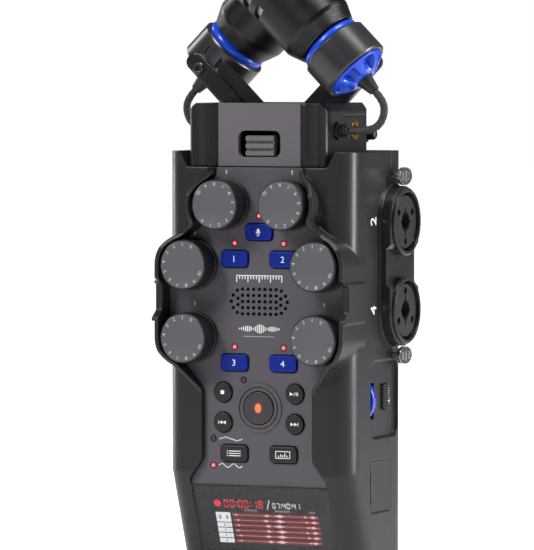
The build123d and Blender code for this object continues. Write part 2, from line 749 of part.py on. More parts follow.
with BuildPart() as jack_plates:
    with BuildSketch(at_x(PLATE_IN_X)):
        add(jack_outline.sketch)
    extrude(amount=PLATE_HIGH_X - PLATE_IN_X)
    chamfer(jack_plates.faces().sort_by(Axis.X)[-1].edges(), 0.5)
    # The face steps down between the jacks.
    with BuildSketch(at_y(JACK_Y + PLATE_R + 1)):
        Polygon(
            (PLATE_LOW_X, JACK_Z[0] - PLATE_STEP - 1.7), (PLATE_HIGH_X + 0.1, JACK_Z[0] - PLATE_STEP),
            (PLATE_HIGH_X + 0.1, JACK_Z[1] + PLATE_STEP), (PLATE_LOW_X, JACK_Z[1] + PLATE_STEP + 1.7),
            align=None,
        )
    extrude(amount=2 * PLATE_R + 2, mode=Mode.SUBTRACT)
    with BuildSketch(at_x(PLATE_IN_X)):
        with Locations(*[(JACK_Y, z) for z in JACK_Z]):
            Circle(JACK_BODY_R + 0.1)
    extrude(amount=PLATE_HIGH_X - PLATE_IN_X + 1, mode=Mode.SUBTRACT)
    mirror(about=Plane.YZ)
write("jack_plates", jack_plates)

with BuildPart() as jack_shells:
    with BuildSketch(at_x(JACK_FACE_X - JACK_DEPTH - 1.2)):
        with Locations(*[(JACK_Y, z) for z in JACK_Z]):
            Circle(JACK_BODY_R)
    extrude(amount=JACK_DEPTH)
    with BuildSketch(at_x(PLATE_HIGH_X)):
        with Locations(*[(JACK_Y, z) for z in JACK_Z]):
            Circle(JACK_RING_R)
    extrude(amount=JACK_FACE_X - PLATE_HIGH_X)
    chamfer(jack_shells.faces().sort_by(Axis.X)[-2:].edges(), 0.5)
    with BuildSketch(at_x(JACK_FACE_X - JACK_DEPTH)):
        with Locations(*[(JACK_Y, z) for z in JACK_Z]):
            Circle(JACK_BORE_R)
    extrude(amount=JACK_DEPTH + 1, mode=Mode.SUBTRACT)
    mirror(about=Plane.YZ)
write("jack_shells", jack_shells)

with BuildPart() as jack_inserts:
    with BuildSketch(at_x(JACK_FACE_X - JACK_DEPTH)):
        with Locations(*[(JACK_Y, z) for z in JACK_Z]):
            Circle(JACK_BORE_R)
    extrude(amount=2.0)
    with BuildSketch(at_x(JACK_FACE_X - JACK_DEPTH)):
        with Locations(*[(JACK_Y, z) for z in JACK_Z]):
            Circle(INSERT_R)
    extrude(amount=JACK_DEPTH - 0.9)
    with BuildSketch(at_x(JACK_FACE_X - JACK_DEPTH + 4)):
        with Locations(*[(JACK_Y, z) for z in JACK_Z]):
            Circle(PLUG_R)
    extrude(amount=JACK_DEPTH, mode=Mode.SUBTRACT)
    # Pointed keyways above, below and beside the hole.
    with BuildSketch(at_x(JACK_FACE_X - 0.9 - STAR_DEPTH)):
        with Locations(*[(JACK_Y, z) for z in JACK_Z]):
            Polygon((0, 5.6), (1.3, 1.3), (4.3, 0), (1.3, -1.3), (0, -5.6), (-1.3, -1.3), (-4.3, 0),
                    (-1.3, 1.3), align=None)
            Circle(PLUG_R)
    extrude(amount=STAR_DEPTH + 1, mode=Mode.SUBTRACT)
    with BuildSketch(at_x(JACK_FACE_X - 12)):
        for z, up in zip(JACK_Z, (-1, 1)):
            with Locations((JACK_Y, z)):
                with PolarLocations(PIN_CIRCLE_R, 3, start_angle=90 * up):
                    Circle(PIN_HOLE_R)
    extrude(amount=14, mode=Mode.SUBTRACT)
    mirror(about=Plane.YZ)
write("jack_inserts", jack_inserts)


def make_lever(name, side, z):
    """A jack's release lever: an oval tab outside and a flat stem that reaches inside."""
    with BuildPart() as lever:
        with BuildSketch(at_x(side * LEVER_X)):
            with Locations((LEVER_Y, z)):
                Ellipse(LEVER_W / 2, LEVER_H / 2)
        extrude(amount=side * LEVER_T)
        with BuildSketch(at_x(side * LEVER_X)):
            with Locations((LEVER_Y, z)):
                Rectangle(LEVER_STEM_W, LEVER_STEM_T)
        extrude(amount=-side * LEVER_STEM_L)
    write(name, lever)


for name, side, z in (
    ("release_lever_1", -1, LEVER_Z[0]), ("release_lever_2", 1, LEVER_Z[0]),
    ("release_lever_3", -1, LEVER_Z[1]), ("release_lever_4", 1, LEVER_Z[1]),
):
    make_lever(name, side, z)

# ---- Side controls ----

with BuildPart() as thumb_wheel:
    with BuildSketch(at_y(WHEEL_Y + WHEEL_T / 2)):
        with Locations((WHEEL_X, WHEEL_Z)):
            Circle(WHEEL_R)
            with PolarLocations(WHEEL_R + 0.15, 36):
                Circle(0.35, mode=Mode.SUBTRACT)
    extrude(amount=WHEEL_T)
    with BuildSketch(at_y(WHEEL_Y + 4.0)):
        with Locations((WHEEL_X, WHEEL_Z)):
            Circle(AXLE_R)
    extrude(amount=8.0)
write("thumb_wheel", thumb_wheel)

with BuildPart() as enter_key:
    with BuildSketch(at_x(INSIDE_X - 1.2)):
        with Locations((KEY_SIDE_Y, KEY_SIDE_Z)):
            Rectangle(KEY_SIDE_W, 7.8)
    extrude(amount=RECESS_X + 0.9 - INSIDE_X + 1.2)
    with BuildSketch(at_x(RECESS_X + 0.4)):
        with Locations(*[(KEY_SIDE_Y, KEY_SIDE_Z - 3.2 + 0.8 * i) for i in range(9)]):
            Rectangle(KEY_SIDE_W, 0.36)
    extrude(amount=1, mode=Mode.SUBTRACT)
    with BuildSketch(at_x(INSIDE_X - 1.2)):
        with Locations((KEY_SIDE_Y - 0.2, KEY_SIDE_Z)):
            Rectangle(KEY_SIDE_W + 1.0, 9.6)
    extrude(amount=1.0)
write("enter_key", enter_key)

with BuildPart() as card_cover:
    with BuildSketch(at_x(COVER_IN_X)):
        with Locations((sum(COVER_Y) / 2, sum(COVER_Z) / 2)):
            RectangleRounded(COVER_Y[1] - COVER_Y[0], COVER_Z[1] - COVER_Z[0], 0.8)
    extrude(amount=HALF_W - COVER_IN_X)
    with BuildSketch(at_x(COVER_IN_X + 0.6)):
        with Locations((COVER_Y[0], sum(COVER_Z) / 2 - 0.4)):
            RectangleRounded(1.6, 10.0, 0.7)
    extrude(amount=2, mode=Mode.SUBTRACT)
write("card_cover", card_cover)

with BuildPart() as card_socket:
    with BuildSketch(at_x(CARD_X[0])):
        with Locations((sum(COVER_Y) / 2, sum(COVER_Z) / 2)):
            Rectangle(4.0, 12.4)
            Rectangle(1.2, 11.2, mode=Mode.SUBTRACT)
    extrude(amount=CARD_X[1] - CARD_X[0])
write("card_socket", card_socket)

with BuildPart() as side_sockets:
    with BuildSketch(at_x(-HALF_W + 0.2)):
        with Locations((SOCKET_Y, PHONE_Z)):
            Circle(PHONE_RING_R)
        with Locations((SOCKET_Y, USB_Z)):
            RectangleRounded(3.4, 9.2, 1.5)
    extrude(amount=14.0)
    with BuildSketch(at_x(-HALF_W)):
        with Locations((SOCKET_Y, PHONE_Z)):
            Circle(PHONE_R)
        with Locations((SOCKET_Y, USB_Z)):
            RectangleRounded(2.6, 8.4, 1.2)
    extrude(amount=12.2, mode=Mode.SUBTRACT)
    with BuildSketch(at_x(-HALF_W)):
        with Locations((SOCKET_Y, USB_Z)):
            Rectangle(0.7, 6.4)
    extrude(amount=13.0)
    with BuildSketch(at_x(-HALF_W - 1)):
        with Locations((SOCKET_Y, USB_Z)):
            Rectangle(4, 10)
    extrude(amount=1.6, mode=Mode.SUBTRACT)
write("side_sockets", side_sockets)

with BuildPart() as power_switch:
    with BuildSketch(at_x(-INSIDE_X + 1.2)):
        with Locations((SWITCH_Y, SWITCH_Z + 1.0)):
            Rectangle(3.0, 6.0)
    extrude(amount=-(WALL + 2.2))
    with BuildSketch(at_x(-HALF_W - 0.4)):
        with Locations(*[(SWITCH_Y, SWITCH_Z + 1.0 + 1.3 * i) for i in (-1, 0, 1)]):
            Rectangle(3.0, 0.5)
    extrude(amount=-2, mode=Mode.SUBTRACT)
    with BuildSketch(at_x(-INSIDE_X + 1.2)):
        with Locations((SWITCH_Y, SWITCH_Z + 1.0)):
            Rectangle(4.6, 8.0)
    extrude(amount=-1.0)
write("power_switch", power_switch)

# ---- Cells, contacts, bush and screws ----

CELLS = [(CELL_PITCH * (i - 1.5), CELL_Y) for i in range(4)]

with BuildPart() as batteries:
    with BuildSketch(Plane.XY.offset(CELL_Z)):
        with Locations(*CELLS):
            Circle(CELL_R)
    extrude(amount=CELL_H - 1.2)
    with BuildSketch(Plane.XY.offset(CELL_Z)):
        with Locations(*CELLS):
            Circle(2.7)
    extrude(amount=CELL_H)
write("batteries", batteries)

with BuildPart() as battery_contacts:
    for z in (CELL_Z - 1.0, CELL_Z + CELL_H + 0.6):
        with BuildSketch(Plane.XY.offset(z)):
            with Locations(*CELLS):
                Rectangle(10.0, 9.0)
        extrude(amount=0.4)
    with BuildSketch(Plane.XY.offset(CELL_Z - 0.7)):
        with Locations(*CELLS):
            Circle(3.0)
    extrude(amount=0.7)
    with BuildSketch(Plane.XY.offset(CELL_Z + CELL_H)):
        with Locations(*CELLS):
            Circle(2.2)
    extrude(amount=0.7)
write("battery_contacts", battery_contacts)

with BuildPart() as tripod_bush:
    with BuildSketch(at_y(REAR_Y)):
        with Locations((0, BUSH_Z)):
            Circle(BUSH_OUT_R)
            Circle(TRIPOD_R, mode=Mode.SUBTRACT)
    extrude(amount=TRIPOD_DEPTH)
    with BuildSketch(at_y(REAR_Y - TRIPOD_DEPTH)):
        with Locations((0, BUSH_Z)):
            Circle(BUSH_OUT_R)
    extrude(amount=1.5)
write("tripod_bush", tripod_bush)

with BuildPart() as housing_screws:
    with BuildSketch(at_y(REAR_Y - 2.6)):
        with Locations(*SCREWS):
            Circle(SCREW_R - 0.05)
    extrude(amount=REAR_Y - 2.6 - SPLIT_Y + 3.4)
    with BuildSketch(at_y(REAR_Y - 2.6)):
        with Locations(*SCREWS):
            Circle(SCREW_HEAD_R)
            RegularPolygon(1.0, 6, mode=Mode.SUBTRACT)
    extrude(amount=-1.2)
write("housing_screws", housing_screws)

with BuildPart() as capsule_socket:
    with BuildSketch(Plane.XY.offset(SEAT_Z - WALL)):
        with Locations((0, sum(PLUG_Y) / 2)):
            Rectangle(2 * PLUG_HALF + 4, PLUG_Y[1] - PLUG_Y[0] + 4)
    extrude(amount=-8)
    with BuildSketch(Plane.XY.offset(SEAT_Z - WALL)):
        with Locations((0, sum(PLUG_Y) / 2)):
            Rectangle(2 * PLUG_HALF + 1, PLUG_Y[1] - PLUG_Y[0] + 1)
    extrude(amount=-5.5, mode=Mode.SUBTRACT)
write("capsule_socket", capsule_socket)

# ---- Microphone module ----

with BuildPart() as module_shape:
    with BuildSketch(Plane.XY.offset(MODULE_Z)) as module_section:
        with Locations((0, (FRONT_Y + MODULE_BACK_Y) / 2)):
            Rectangle(2 * MODULE_HALF, MODULE_BACK_Y - FRONT_Y)
        fillet(module_section.vertices().group_by(Axis.Y)[0], MODULE_FRONT_R)
        fillet(module_section.vertices().group_by(Axis.Y)[-1], 2.5)
    extrude(amount=MODULE_TOP - MODULE_Z)
    with BuildSketch(at_y(MODULE_BACK_Y)):
        Polygon(*centre_x([
            (MODULE_HALF - MODULE_CHAMFER, MODULE_TOP), (MODULE_HALF, MODULE_TOP - MODULE_CHAMFER),
            (MODULE_HALF, MODULE_Z),
        ]), align=None)
    extrude(amount=MODULE_BACK_Y - FRONT_Y, mode=Mode.INTERSECT)
    # A cove runs down beside each lip.
    with BuildSketch(Plane.XY.offset(MODULE_Z)):
        with Locations((-COVE_X, FRONT_Y - 2.4), (COVE_X, FRONT_Y - 2.4)):
            Circle(COVE_R)
    extrude(amount=MODULE_TOP - MODULE_Z, mode=Mode.SUBTRACT)

with BuildPart() as capsule_shell:
    add(module_shape.part)
    # Bed of the front plate between the two lips, which slope down to it.
    with BuildSketch(Plane.XY.offset(MODULE_Z)):
        Polygon(*centre_x([
            (LIP_X, FRONT_Y - 0.1), (PLATE_HALF + 0.1, FACE_Y), (PLATE_HALF + 0.1, FACE_Y + PANEL_T),
        ]), align=None)
    extrude(amount=MODULE_TOP - MODULE_Z, mode=Mode.SUBTRACT)
    # Hollow inside, open underneath, with a block left for the connector.
    with BuildSketch(Plane.XY.offset(MODULE_Z)):
        with Locations((0, (FACE_Y + PANEL_T + MODULE_WALL + MODULE_BACK_Y - MODULE_WALL) / 2)):
            Rectangle(2 * (MODULE_HALF - MODULE_WALL - 1.6),
                      MODULE_BACK_Y - FACE_Y - PANEL_T - 2 * MODULE_WALL)
        with Locations((0, sum(PLUG_Y) / 2)):
            Rectangle(2 * PLUG_HALF, PLUG_Y[1] - PLUG_Y[0], mode=Mode.SUBTRACT)
    extrude(amount=MODULE_TOP - MODULE_Z - MODULE_WALL - 2, mode=Mode.SUBTRACT)
    with BuildSketch(Plane.XY.offset(MODULE_Z)):
        with Locations((0, sum(PLUG_Y) / 2)):
            Rectangle(2 * PLUG_HALF, PLUG_Y[1] - PLUG_Y[0])
    extrude(amount=-7.0)
    # Window for the latch.
    with BuildSketch(at_y(FACE_Y + PANEL_T + MODULE_WALL + 1)):
        with Locations((0, LATCH_Z)):
            Rectangle(LATCH_SLOT_W, LATCH_SLOT_H)
    extrude(amount=MODULE_WALL + 1, mode=Mode.SUBTRACT)
    # Openings for the line-in jack, the lead glands and the release button.
    with BuildSketch(at_x(MODULE_HALF - 14)):
        with Locations((LINE_IN_Y, LINE_IN_Z)):
            Circle(LINE_IN_R)
    extrude(amount=20, mode=Mode.SUBTRACT)
    # Boss on the module's rear that guides the release button.
    with BuildSketch(at_x(BOSS_X[0])):
        with Locations((RELEASE_Y, RELEASE_Z)):
            Circle(BOSS_R)
    extrude(amount=BOSS_X[1] - BOSS_X[0])
    with BuildSketch(at_x(RELEASE_X[0] - 1.5)):
        with Locations((RELEASE_Y, RELEASE_Z)):
            Circle(RELEASE_R + 0.15)
    extrude(amount=12, mode=Mode.SUBTRACT)
    # Part line round the upper half of the right and left sides.
    with BuildSketch(Plane.XY.offset(SEAM_Z)):
        with Locations((0, MID_Y + 2)):
            Rectangle(2 * MODULE_HALF + 2, 20.0)
            Rectangle(2 * MODULE_HALF - 0.5, 22.0, mode=Mode.SUBTRACT)
    extrude(amount=0.25, mode=Mode.SUBTRACT)
write("capsule_shell", capsule_shell)

with BuildPart() as capsule_front_plate:
    with BuildSketch(at_y(FACE_Y + PANEL_T)):
        with Locations((0, (MODULE_Z + MODULE_TOP) / 2)):
            Rectangle(2 * PLATE_HALF, MODULE_TOP - MODULE_Z)
        with Locations((0, LATCH_Z)):
            RectangleRounded(LATCH_HOLE_W, LATCH_HOLE_H, 2.2, mode=Mode.SUBTRACT)
    extrude(amount=PANEL_T)
write("capsule_front_plate", capsule_front_plate)

with BuildPart() as capsule_latch:
    with BuildSketch(at_y(FACE_Y + PANEL_T + 1.4)):
        with Locations((0, LATCH_Z - 0.7)):
            Rectangle(LATCH_W, LATCH_H)
    extrude(amount=2.0)
    with BuildSketch(at_y(FACE_Y + PANEL_T - 0.6)):
        with Locations(*[(0, LATCH_Z - 0.7 + 2.4 * i) for i in (-1, 0, 1)]):
            Rectangle(LATCH_W, 1.3)
    extrude(amount=0.9)
write("capsule_latch", capsule_latch)

with BuildPart() as capsule_release_button:
    with BuildSketch(at_x(RELEASE_X[0])):
        with Locations((RELEASE_Y, RELEASE_Z)):
            Circle(RELEASE_R)
    extrude(amount=RELEASE_X[1] - RELEASE_X[0])
    fillet(capsule_release_button.faces().sort_by(Axis.X)[-1].edges(), 1.2)
write("capsule_release_button", capsule_release_button)

with BuildPart() as line_in_jack:
    with BuildSketch(at_x(MODULE_HALF - 12)):
        with Locations((LINE_IN_Y, LINE_IN_Z)):
            Circle(LINE_IN_R - 0.05)
    extrude(amount=12.4)
    with BuildSketch(at_x(MODULE_HALF - 11)):
        with Locations((LINE_IN_Y, LINE_IN_Z)):
            Circle(PHONE_R)
    extrude(amount=14, mode=Mode.SUBTRACT)
write("line_in_jack", line_in_jack)

# ---- Shock-mounted microphones ----

mic_centre = Vector(MIC_X, MIC_Y, MIC_Z)
mic_way = Vector(-1, 0, 1).normalized()
mic_axis = Axis(mic_centre, mic_way)
module_axis = Axis((0, MID_Y, 0), (0, 0, 1))
mic_profile = Plane(origin=mic_centre, x_dir=(0, 1, 0), z_dir=Vector(0, 1, 0).cross(mic_way))


def across_mic(s):
    """Sketch plane across the right microphone, s along its axis from the ring's centre."""
    return Plane(origin=mic_centre + mic_way * s, x_dir=(0, 1, 0), z_dir=mic_way)


with BuildPart() as shock_rings:
    with BuildSketch(mic_profile):
        with BuildLine():
            Polyline((RING_IN_R, -RING_HALF), (RING_R - 0.5, -RING_HALF), (RING_R, -RING_HALF + 0.5),
                     (RING_R, RING_HALF - 0.5), (RING_R - 0.5, RING_HALF), (RING_IN_R, RING_HALF),
                     close=True)
        make_face()
    revolve(axis=mic_axis)
    add(shock_rings.part.rotate(module_axis, 180))
write("shock_rings", shock_rings)

with BuildPart() as ring_suspensions:
    with BuildSketch(mic_profile):
        with BuildLine():
            Polyline((NECK_R, 8.5), (10.6, 8.1), (11.1, 7.2), (11.1, RING_HALF + 0.1),
                     (RING_IN_R, RING_HALF + 0.1), (RING_IN_R, -6.3), (8.4, -8.6), (3.2, -9.8),
                     (3.2, -8.2), (7.4, -7.2), (NECK_R, -5.4), close=True)
        make_face()
    revolve(axis=mic_axis)
    with BuildSketch(across_mic(-12)):
        with PolarLocations(5.6, 6):
            SlotOverall(5.6, 3.0)
    extrude(amount=6.6, mode=Mode.SUBTRACT)
    add(ring_suspensions.part.rotate(module_axis, 180))
write("ring_suspensions", ring_suspensions)

with BuildPart() as mic_barrels:
    with BuildSketch(mic_profile):
        with BuildLine():
            Polyline((0, -5.0), (NECK_R, -5.0), (NECK_R, 8.6), (10.5, 8.6), (BARREL_R - 0.3, 13.2),
                     (BARREL_R, 14.2), (BARREL_R, BARREL_END - 2.5), (BARREL_R - 2.5, BARREL_END),
                     (0, BARREL_END), close=True)
        make_face()
    revolve(axis=mic_axis)
    with BuildSketch(mic_profile):
        with BuildLine():
            Polyline((0, 24.0), (BARREL_R - 1.4, 24.0), (BARREL_R - 1.4, BARREL_END - 3.0),
                     (BARREL_R - 3.2, BARREL_END - 1.4), (0, BARREL_END - 1.4), close=True)
        make_face()
    revolve(axis=mic_axis, mode=Mode.SUBTRACT)
    # Slots round the barrel, four to a row, and a round opening in its end.
    for s in SLOT_ROWS:
        with BuildSketch(across_mic(s)) as slot_row:
            Circle(BARREL_R + 1)
            Circle(BARREL_R - 2, mode=Mode.SUBTRACT)
            with PolarLocations(BARREL_R - 0.5, 4, start_angle=SLOT_TURN):
                Rectangle(5.0, 7.6, mode=Mode.SUBTRACT)
        extrude(amount=SLOT_W, mode=Mode.SUBTRACT)
    with BuildSketch(across_mic(BARREL_END - 2)):
        Circle(BARREL_R - 4.6)
    extrude(amount=4, mode=Mode.SUBTRACT)
    add(mic_barrels.part.rotate(module_axis, 180))
write("mic_barrels", mic_barrels)

with BuildPart() as mic_elements:
    with BuildSketch(across_mic(24.0)):
        Circle(4.0)
    extrude(amount=4.0)
    with BuildSketch(across_mic(28.0)):
        Circle(9.6)
    extrude(amount=14.0)
    add(mic_elements.part.rotate(module_axis, 180))
write("mic_elements", mic_elements)

# An arm runs square to the microphone, from the module's top to the side of the ring.
arm_way = Vector(1, 0, 1).normalized()
arm_plane = Plane(origin=(MIC_X + 2.9, MID_Y - 0.35, MIC_Z - 2.9), x_dir=arm_way, z_dir=(0, 1, 0))

with BuildPart() as capsule_arms:
    with BuildSketch(arm_plane.offset(-ARM_T)):
        with Locations((-7.0, 0)):
            RectangleRounded(25.0, ARM_W, 2.6)
    extrude(amount=ARM_T)
    with BuildSketch(arm_plane.offset(-ARM_T)):
        with Locations((-12.5, -(ARM_W + ARM_FLANGE_W) / 2 + 0.5)):
            Rectangle(31.0, ARM_FLANGE_W + 1)
    extrude(amount=ARM_T / 2)
    with BuildSketch(across_mic(-RING_HALF - 12)):
        Circle(RING_R)
    extrude(amount=2 * RING_HALF + 12 + 12, mode=Mode.SUBTRACT)
    with BuildSketch(Plane.XY.offset(MODULE_TOP)):
        Rectangle(90, 60)
    extrude(amount=-20, mode=Mode.SUBTRACT)
    add(capsule_arms.part.rotate(module_axis, 180))
write("capsule_arms", capsule_arms)

# ---- Leads: from the rear of each microphone round to the module's side ----

gland_tip = mic_centre - mic_way * GLAND_TIP
lead_points = [
    gland_tip, gland_tip - mic_way * 4.4, (41.3, MIC_Y, 164.2), (39.2, MIC_Y, 160.3),
    (35.0, MIC_Y, SIDE_GLAND_Z), (MODULE_HALF + SIDE_GLAND_L, MIC_Y, SIDE_GLAND_Z),
]
lead_runs = [(Vector(b) - Vector(a)).length for a, b in zip(lead_points, lead_points[1:])]
lead_turns = [
    math.radians((Vector(b) - Vector(a)).get_angle(Vector(c) - Vector(b)))
    for a, b, c in zip(lead_points, lead_points[1:], lead_points[2:])
]
lead_radii = [
    0.45 * min(before, after) / math.tan(turn / 2)
    for before, after, turn in zip(lead_runs, lead_runs[1:], lead_turns)
]
print("lead radii", [round(r, 1) for r in lead_radii], "runs", [round(r, 1) for r in lead_runs])

with BuildPart() as mic_cables:
    with BuildLine() as lead_path:
        FilletPolyline(*lead_points, radius=lead_radii)
    with BuildSketch(Plane(origin=gland_tip, z_dir=lead_path.line % 0)):
        Circle(LEAD_R)
    sweep()
    add(mic_cables.part.rotate(module_axis, 180))
lead_length = lead_path.wires()[0].length
print("lead length", round(lead_length, 1), "volume", round(mic_cables.part.volume, 1),
      "expected", round(2 * math.pi * LEAD_R**2 * lead_length, 1))
write("mic_cables", mic_cables)

with BuildPart() as cable_glands:
    with BuildSketch(across_mic(-GLAND_TIP)):
        Circle(LEAD_R + 0.5)
    extrude(amount=GLAND_TIP - 8.6, taper=-12)
    with BuildSketch(at_x(MODULE_HALF)):
        with Locations((MIC_Y, SIDE_GLAND_Z)):
            Circle(2.9)
    extrude(amount=1.4)
    for i in range(3):
        with BuildSketch(at_x(MODULE_HALF + 1.4 + i)):
            with Locations((MIC_Y, SIDE_GLAND_Z)):
                Circle(1.7)
        extrude(amount=0.5)
        with BuildSketch(at_x(MODULE_HALF + 1.9 + i)):
            with Locations((MIC_Y, SIDE_GLAND_Z)):
                Circle(2.3 - 0.15 * i)
        extrude(amount=0.5)
    add(cable_glands.part.rotate(module_axis, 180))
write("cable_glands", cable_glands)
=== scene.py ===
import math

import bmesh
import bpy
from mathutils import Matrix, Vector


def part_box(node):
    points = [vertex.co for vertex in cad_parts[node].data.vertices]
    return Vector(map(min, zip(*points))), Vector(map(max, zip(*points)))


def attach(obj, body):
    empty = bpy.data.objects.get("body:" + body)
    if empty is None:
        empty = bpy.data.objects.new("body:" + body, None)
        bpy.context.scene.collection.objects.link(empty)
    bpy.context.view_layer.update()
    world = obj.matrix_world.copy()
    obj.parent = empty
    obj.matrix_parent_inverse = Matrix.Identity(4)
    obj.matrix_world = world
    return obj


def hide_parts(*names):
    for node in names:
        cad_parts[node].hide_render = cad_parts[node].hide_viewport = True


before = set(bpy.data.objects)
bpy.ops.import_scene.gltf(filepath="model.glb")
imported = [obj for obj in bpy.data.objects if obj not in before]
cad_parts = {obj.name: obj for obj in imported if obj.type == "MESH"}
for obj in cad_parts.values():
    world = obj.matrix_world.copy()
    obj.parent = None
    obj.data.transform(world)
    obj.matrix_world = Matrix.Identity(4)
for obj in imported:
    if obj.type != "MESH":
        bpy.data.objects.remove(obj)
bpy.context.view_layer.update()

MM = 0.001
scene = bpy.context.scene


# ---------------------------------------------------------------- places

def box(node):
    lo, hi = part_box(node)
    return Vector(lo), Vector(hi)


def middle(node):
    lo, hi = box(node)
    return (lo + hi) / 2


def front_of(node):
    return box(node)[0].y


def spot(x, y, z):
    """A place given in millimetres."""
    return Vector((x, y, z)) * MM


def turned(origin, right, up):
    """Placement whose local X and Y run along right and up."""
    right, up = Vector(right).normalized(), Vector(up).normalized()
    out = right.cross(up)
    return Matrix.Translation(origin) @ Matrix((right, up, out)).transposed().to_4x4()


FACE_Y = front_of("capsule_front_plate")


def on_face(x, z):
    """Flat drawing on the front panel, in millimetres."""
    return turned((x * MM, FACE_Y, z * MM), (1, 0, 0), (0, 0, 1))


def on_side(side, y, z, x):
    """Flat drawing that faces right (side 1) or left (side -1), in millimetres."""
    return turned((side * x * MM, y * MM, z * MM), (0, side, 0), (0, 0, 1))


def facing(place, back):
    """Placement whose local Z runs along back: cameras and lights look the other way."""
    return Matrix.Translation(place) @ back.to_track_quat("Z", "Y").to_matrix().to_4x4()


MIC_CENTRE = spot(27.5, -11.25, 182.0)
MIC_SHARED = spot(0, 1.75, 0)  # half a turn about the vertical here takes one microphone onto the other
HALF_TURN = (Matrix.Translation(MIC_SHARED) @ Matrix.Rotation(math.pi, 4, "Z")
             @ Matrix.Translation(-MIC_SHARED))
RIGHT_MIC = turned(MIC_CENTRE, (0, 1, 0), (-1, 0, -1))  # local Z runs up the barrel
MICS = (RIGHT_MIC, HALF_TURN @ RIGHT_MIC)


# ---------------------------------------------------------------- camera, lights and backdrop

CAMERA_AZIMUTH = math.radians(24.34)
CAMERA_HEIGHT = math.radians(2.43)
CAMERA_AT = Vector((0.7222, -1.6082, 0.1862))
CAMERA_LENS = 353.5
CAMERA_SENSOR = 36
CAMERA_CLIP = 0.05


def make_camera():
    data = bpy.data.cameras.new("camera")
    data.lens = CAMERA_LENS
    data.sensor_width = CAMERA_SENSOR
    data.clip_start = CAMERA_CLIP
    camera = bpy.data.objects.new("camera", data)
    scene.collection.objects.link(camera)
    back = Vector((
        math.sin(CAMERA_AZIMUTH) * math.cos(CAMERA_HEIGHT),
        -math.cos(CAMERA_AZIMUTH) * math.cos(CAMERA_HEIGHT),
        math.sin(CAMERA_HEIGHT),
    ))
    camera.matrix_world = facing(CAMERA_AT, back)
    scene.camera = camera


def area_light(name, place, target, size, power, height=None):
    data = bpy.data.lights.new(name, "AREA")
    data.energy = power
    data.size = size
    if height:
        data.shape = "RECTANGLE"
        data.size_y = height
    light = bpy.data.objects.new(name, data)
    scene.collection.objects.link(light)
    light.matrix_world = facing(place, Vector(place) - Vector(target))


FILL = 0.07
BACKDROP = 1.0


def make_world():
    """White behind the object, and a weaker even fill on it."""
    world = bpy.data.worlds.new("studio")
    scene.world = world
    world.use_nodes = True
    tree = world.node_tree
    tree.nodes.clear()
    out = tree.nodes.new("ShaderNodeOutputWorld")
    mix = tree.nodes.new("ShaderNodeMixShader")
    rays = tree.nodes.new("ShaderNodeLightPath")
    tree.links.new(rays.outputs["Is Camera Ray"], mix.inputs[0])
    for slot, strength in ((1, FILL), (2, BACKDROP)):
        light = tree.nodes.new("ShaderNodeBackground")
        light.inputs["Color"].default_value = (1, 1, 1, 1)
        light.inputs["Strength"].default_value = strength
        tree.links.new(light.outputs[0], mix.inputs[slot])
    tree.links.new(mix.outputs[0], out.inputs["Surface"])


def make_lights():
    """Soft key from the front left, a narrow strip on the right side, a top light and a rim light."""
    area_light("key", place=(-0.60, -1.10, 1.10), target=(0, 0, 0.12), size=0.5, power=18)
    area_light("right_strip", place=(0.98, 0.34, 0.25), target=(0.03, 0, 0.1), size=0.11, power=17,
               height=1.0)
    area_light("top", place=(0.25, -0.1, 1.1), target=(0, 0, 0.15), size=0.35, power=9)
    area_light("left_rim", place=(-0.9, 0.35, 0.3), target=(0, 0, 0.12), size=0.2, power=4, height=0.8)
    scene.view_settings.view_transform = "Standard"


FLOOR_HALF = 6.0
FLOOR_COLOUR = (0.9, 0.9, 0.9, 1)
FLOOR_ROUGHNESS = 0.9
FLOOR_FADE = {"From Min": 0.05, "From Max": 0.45, "To Min": 0.45, "To Max": 1.0}  # metres, strengths


def make_floor():
    """Pale floor that turns into the white of the background away from the object."""
    size = FLOOR_HALF
    mesh = bpy.data.meshes.new("floor")
    mesh.from_pydata([(-size, -size, 0), (size, -size, 0), (size, size, 0), (-size, size, 0)], [],
                     [(0, 1, 2, 3)])
    floor = bpy.data.objects.new("floor", mesh)
    scene.collection.objects.link(floor)
    material = bpy.data.materials.new("floor")
    material.use_nodes = True
    nodes, links = material.node_tree.nodes, material.node_tree.links
    shader = nodes["Principled BSDF"]
    shader.inputs["Base Color"].default_value = FLOOR_COLOUR
    shader.inputs["Roughness"].default_value = FLOOR_ROUGHNESS
    shader.inputs["Emission Color"].default_value = (1, 1, 1, 1)
    far = nodes.new("ShaderNodeVectorMath")
    far.operation = "LENGTH"
    links.new(nodes.new("ShaderNodeTexCoord").outputs["Object"], far.inputs[0])
    fade = nodes.new("ShaderNodeMapRange")
    for socket, value in FLOOR_FADE.items():
        fade.inputs[socket].default_value = value
    links.new(far.outputs["Value"], fade.inputs["Value"])
    seen = nodes.new("ShaderNodeMath")
    seen.operation = "MULTIPLY"
    links.new(fade.outputs["Result"], seen.inputs[0])
    links.new(nodes.new("ShaderNodeLightPath").outputs["Is Camera Ray"], seen.inputs[1])
    links.new(seen.outputs[0], shader.inputs["Emission Strength"])
    mesh.materials.append(material)


make_camera()
make_world()
make_lights()
make_floor()


# ---------------------------------------------------------------- materials

GRAIN_STEP = 0.05 * MM
SHEEN_SCALE = 60
COLOUR_SCALE = 35
COLOUR_LIFT = 0.002
BEVEL_SAMPLES = 6


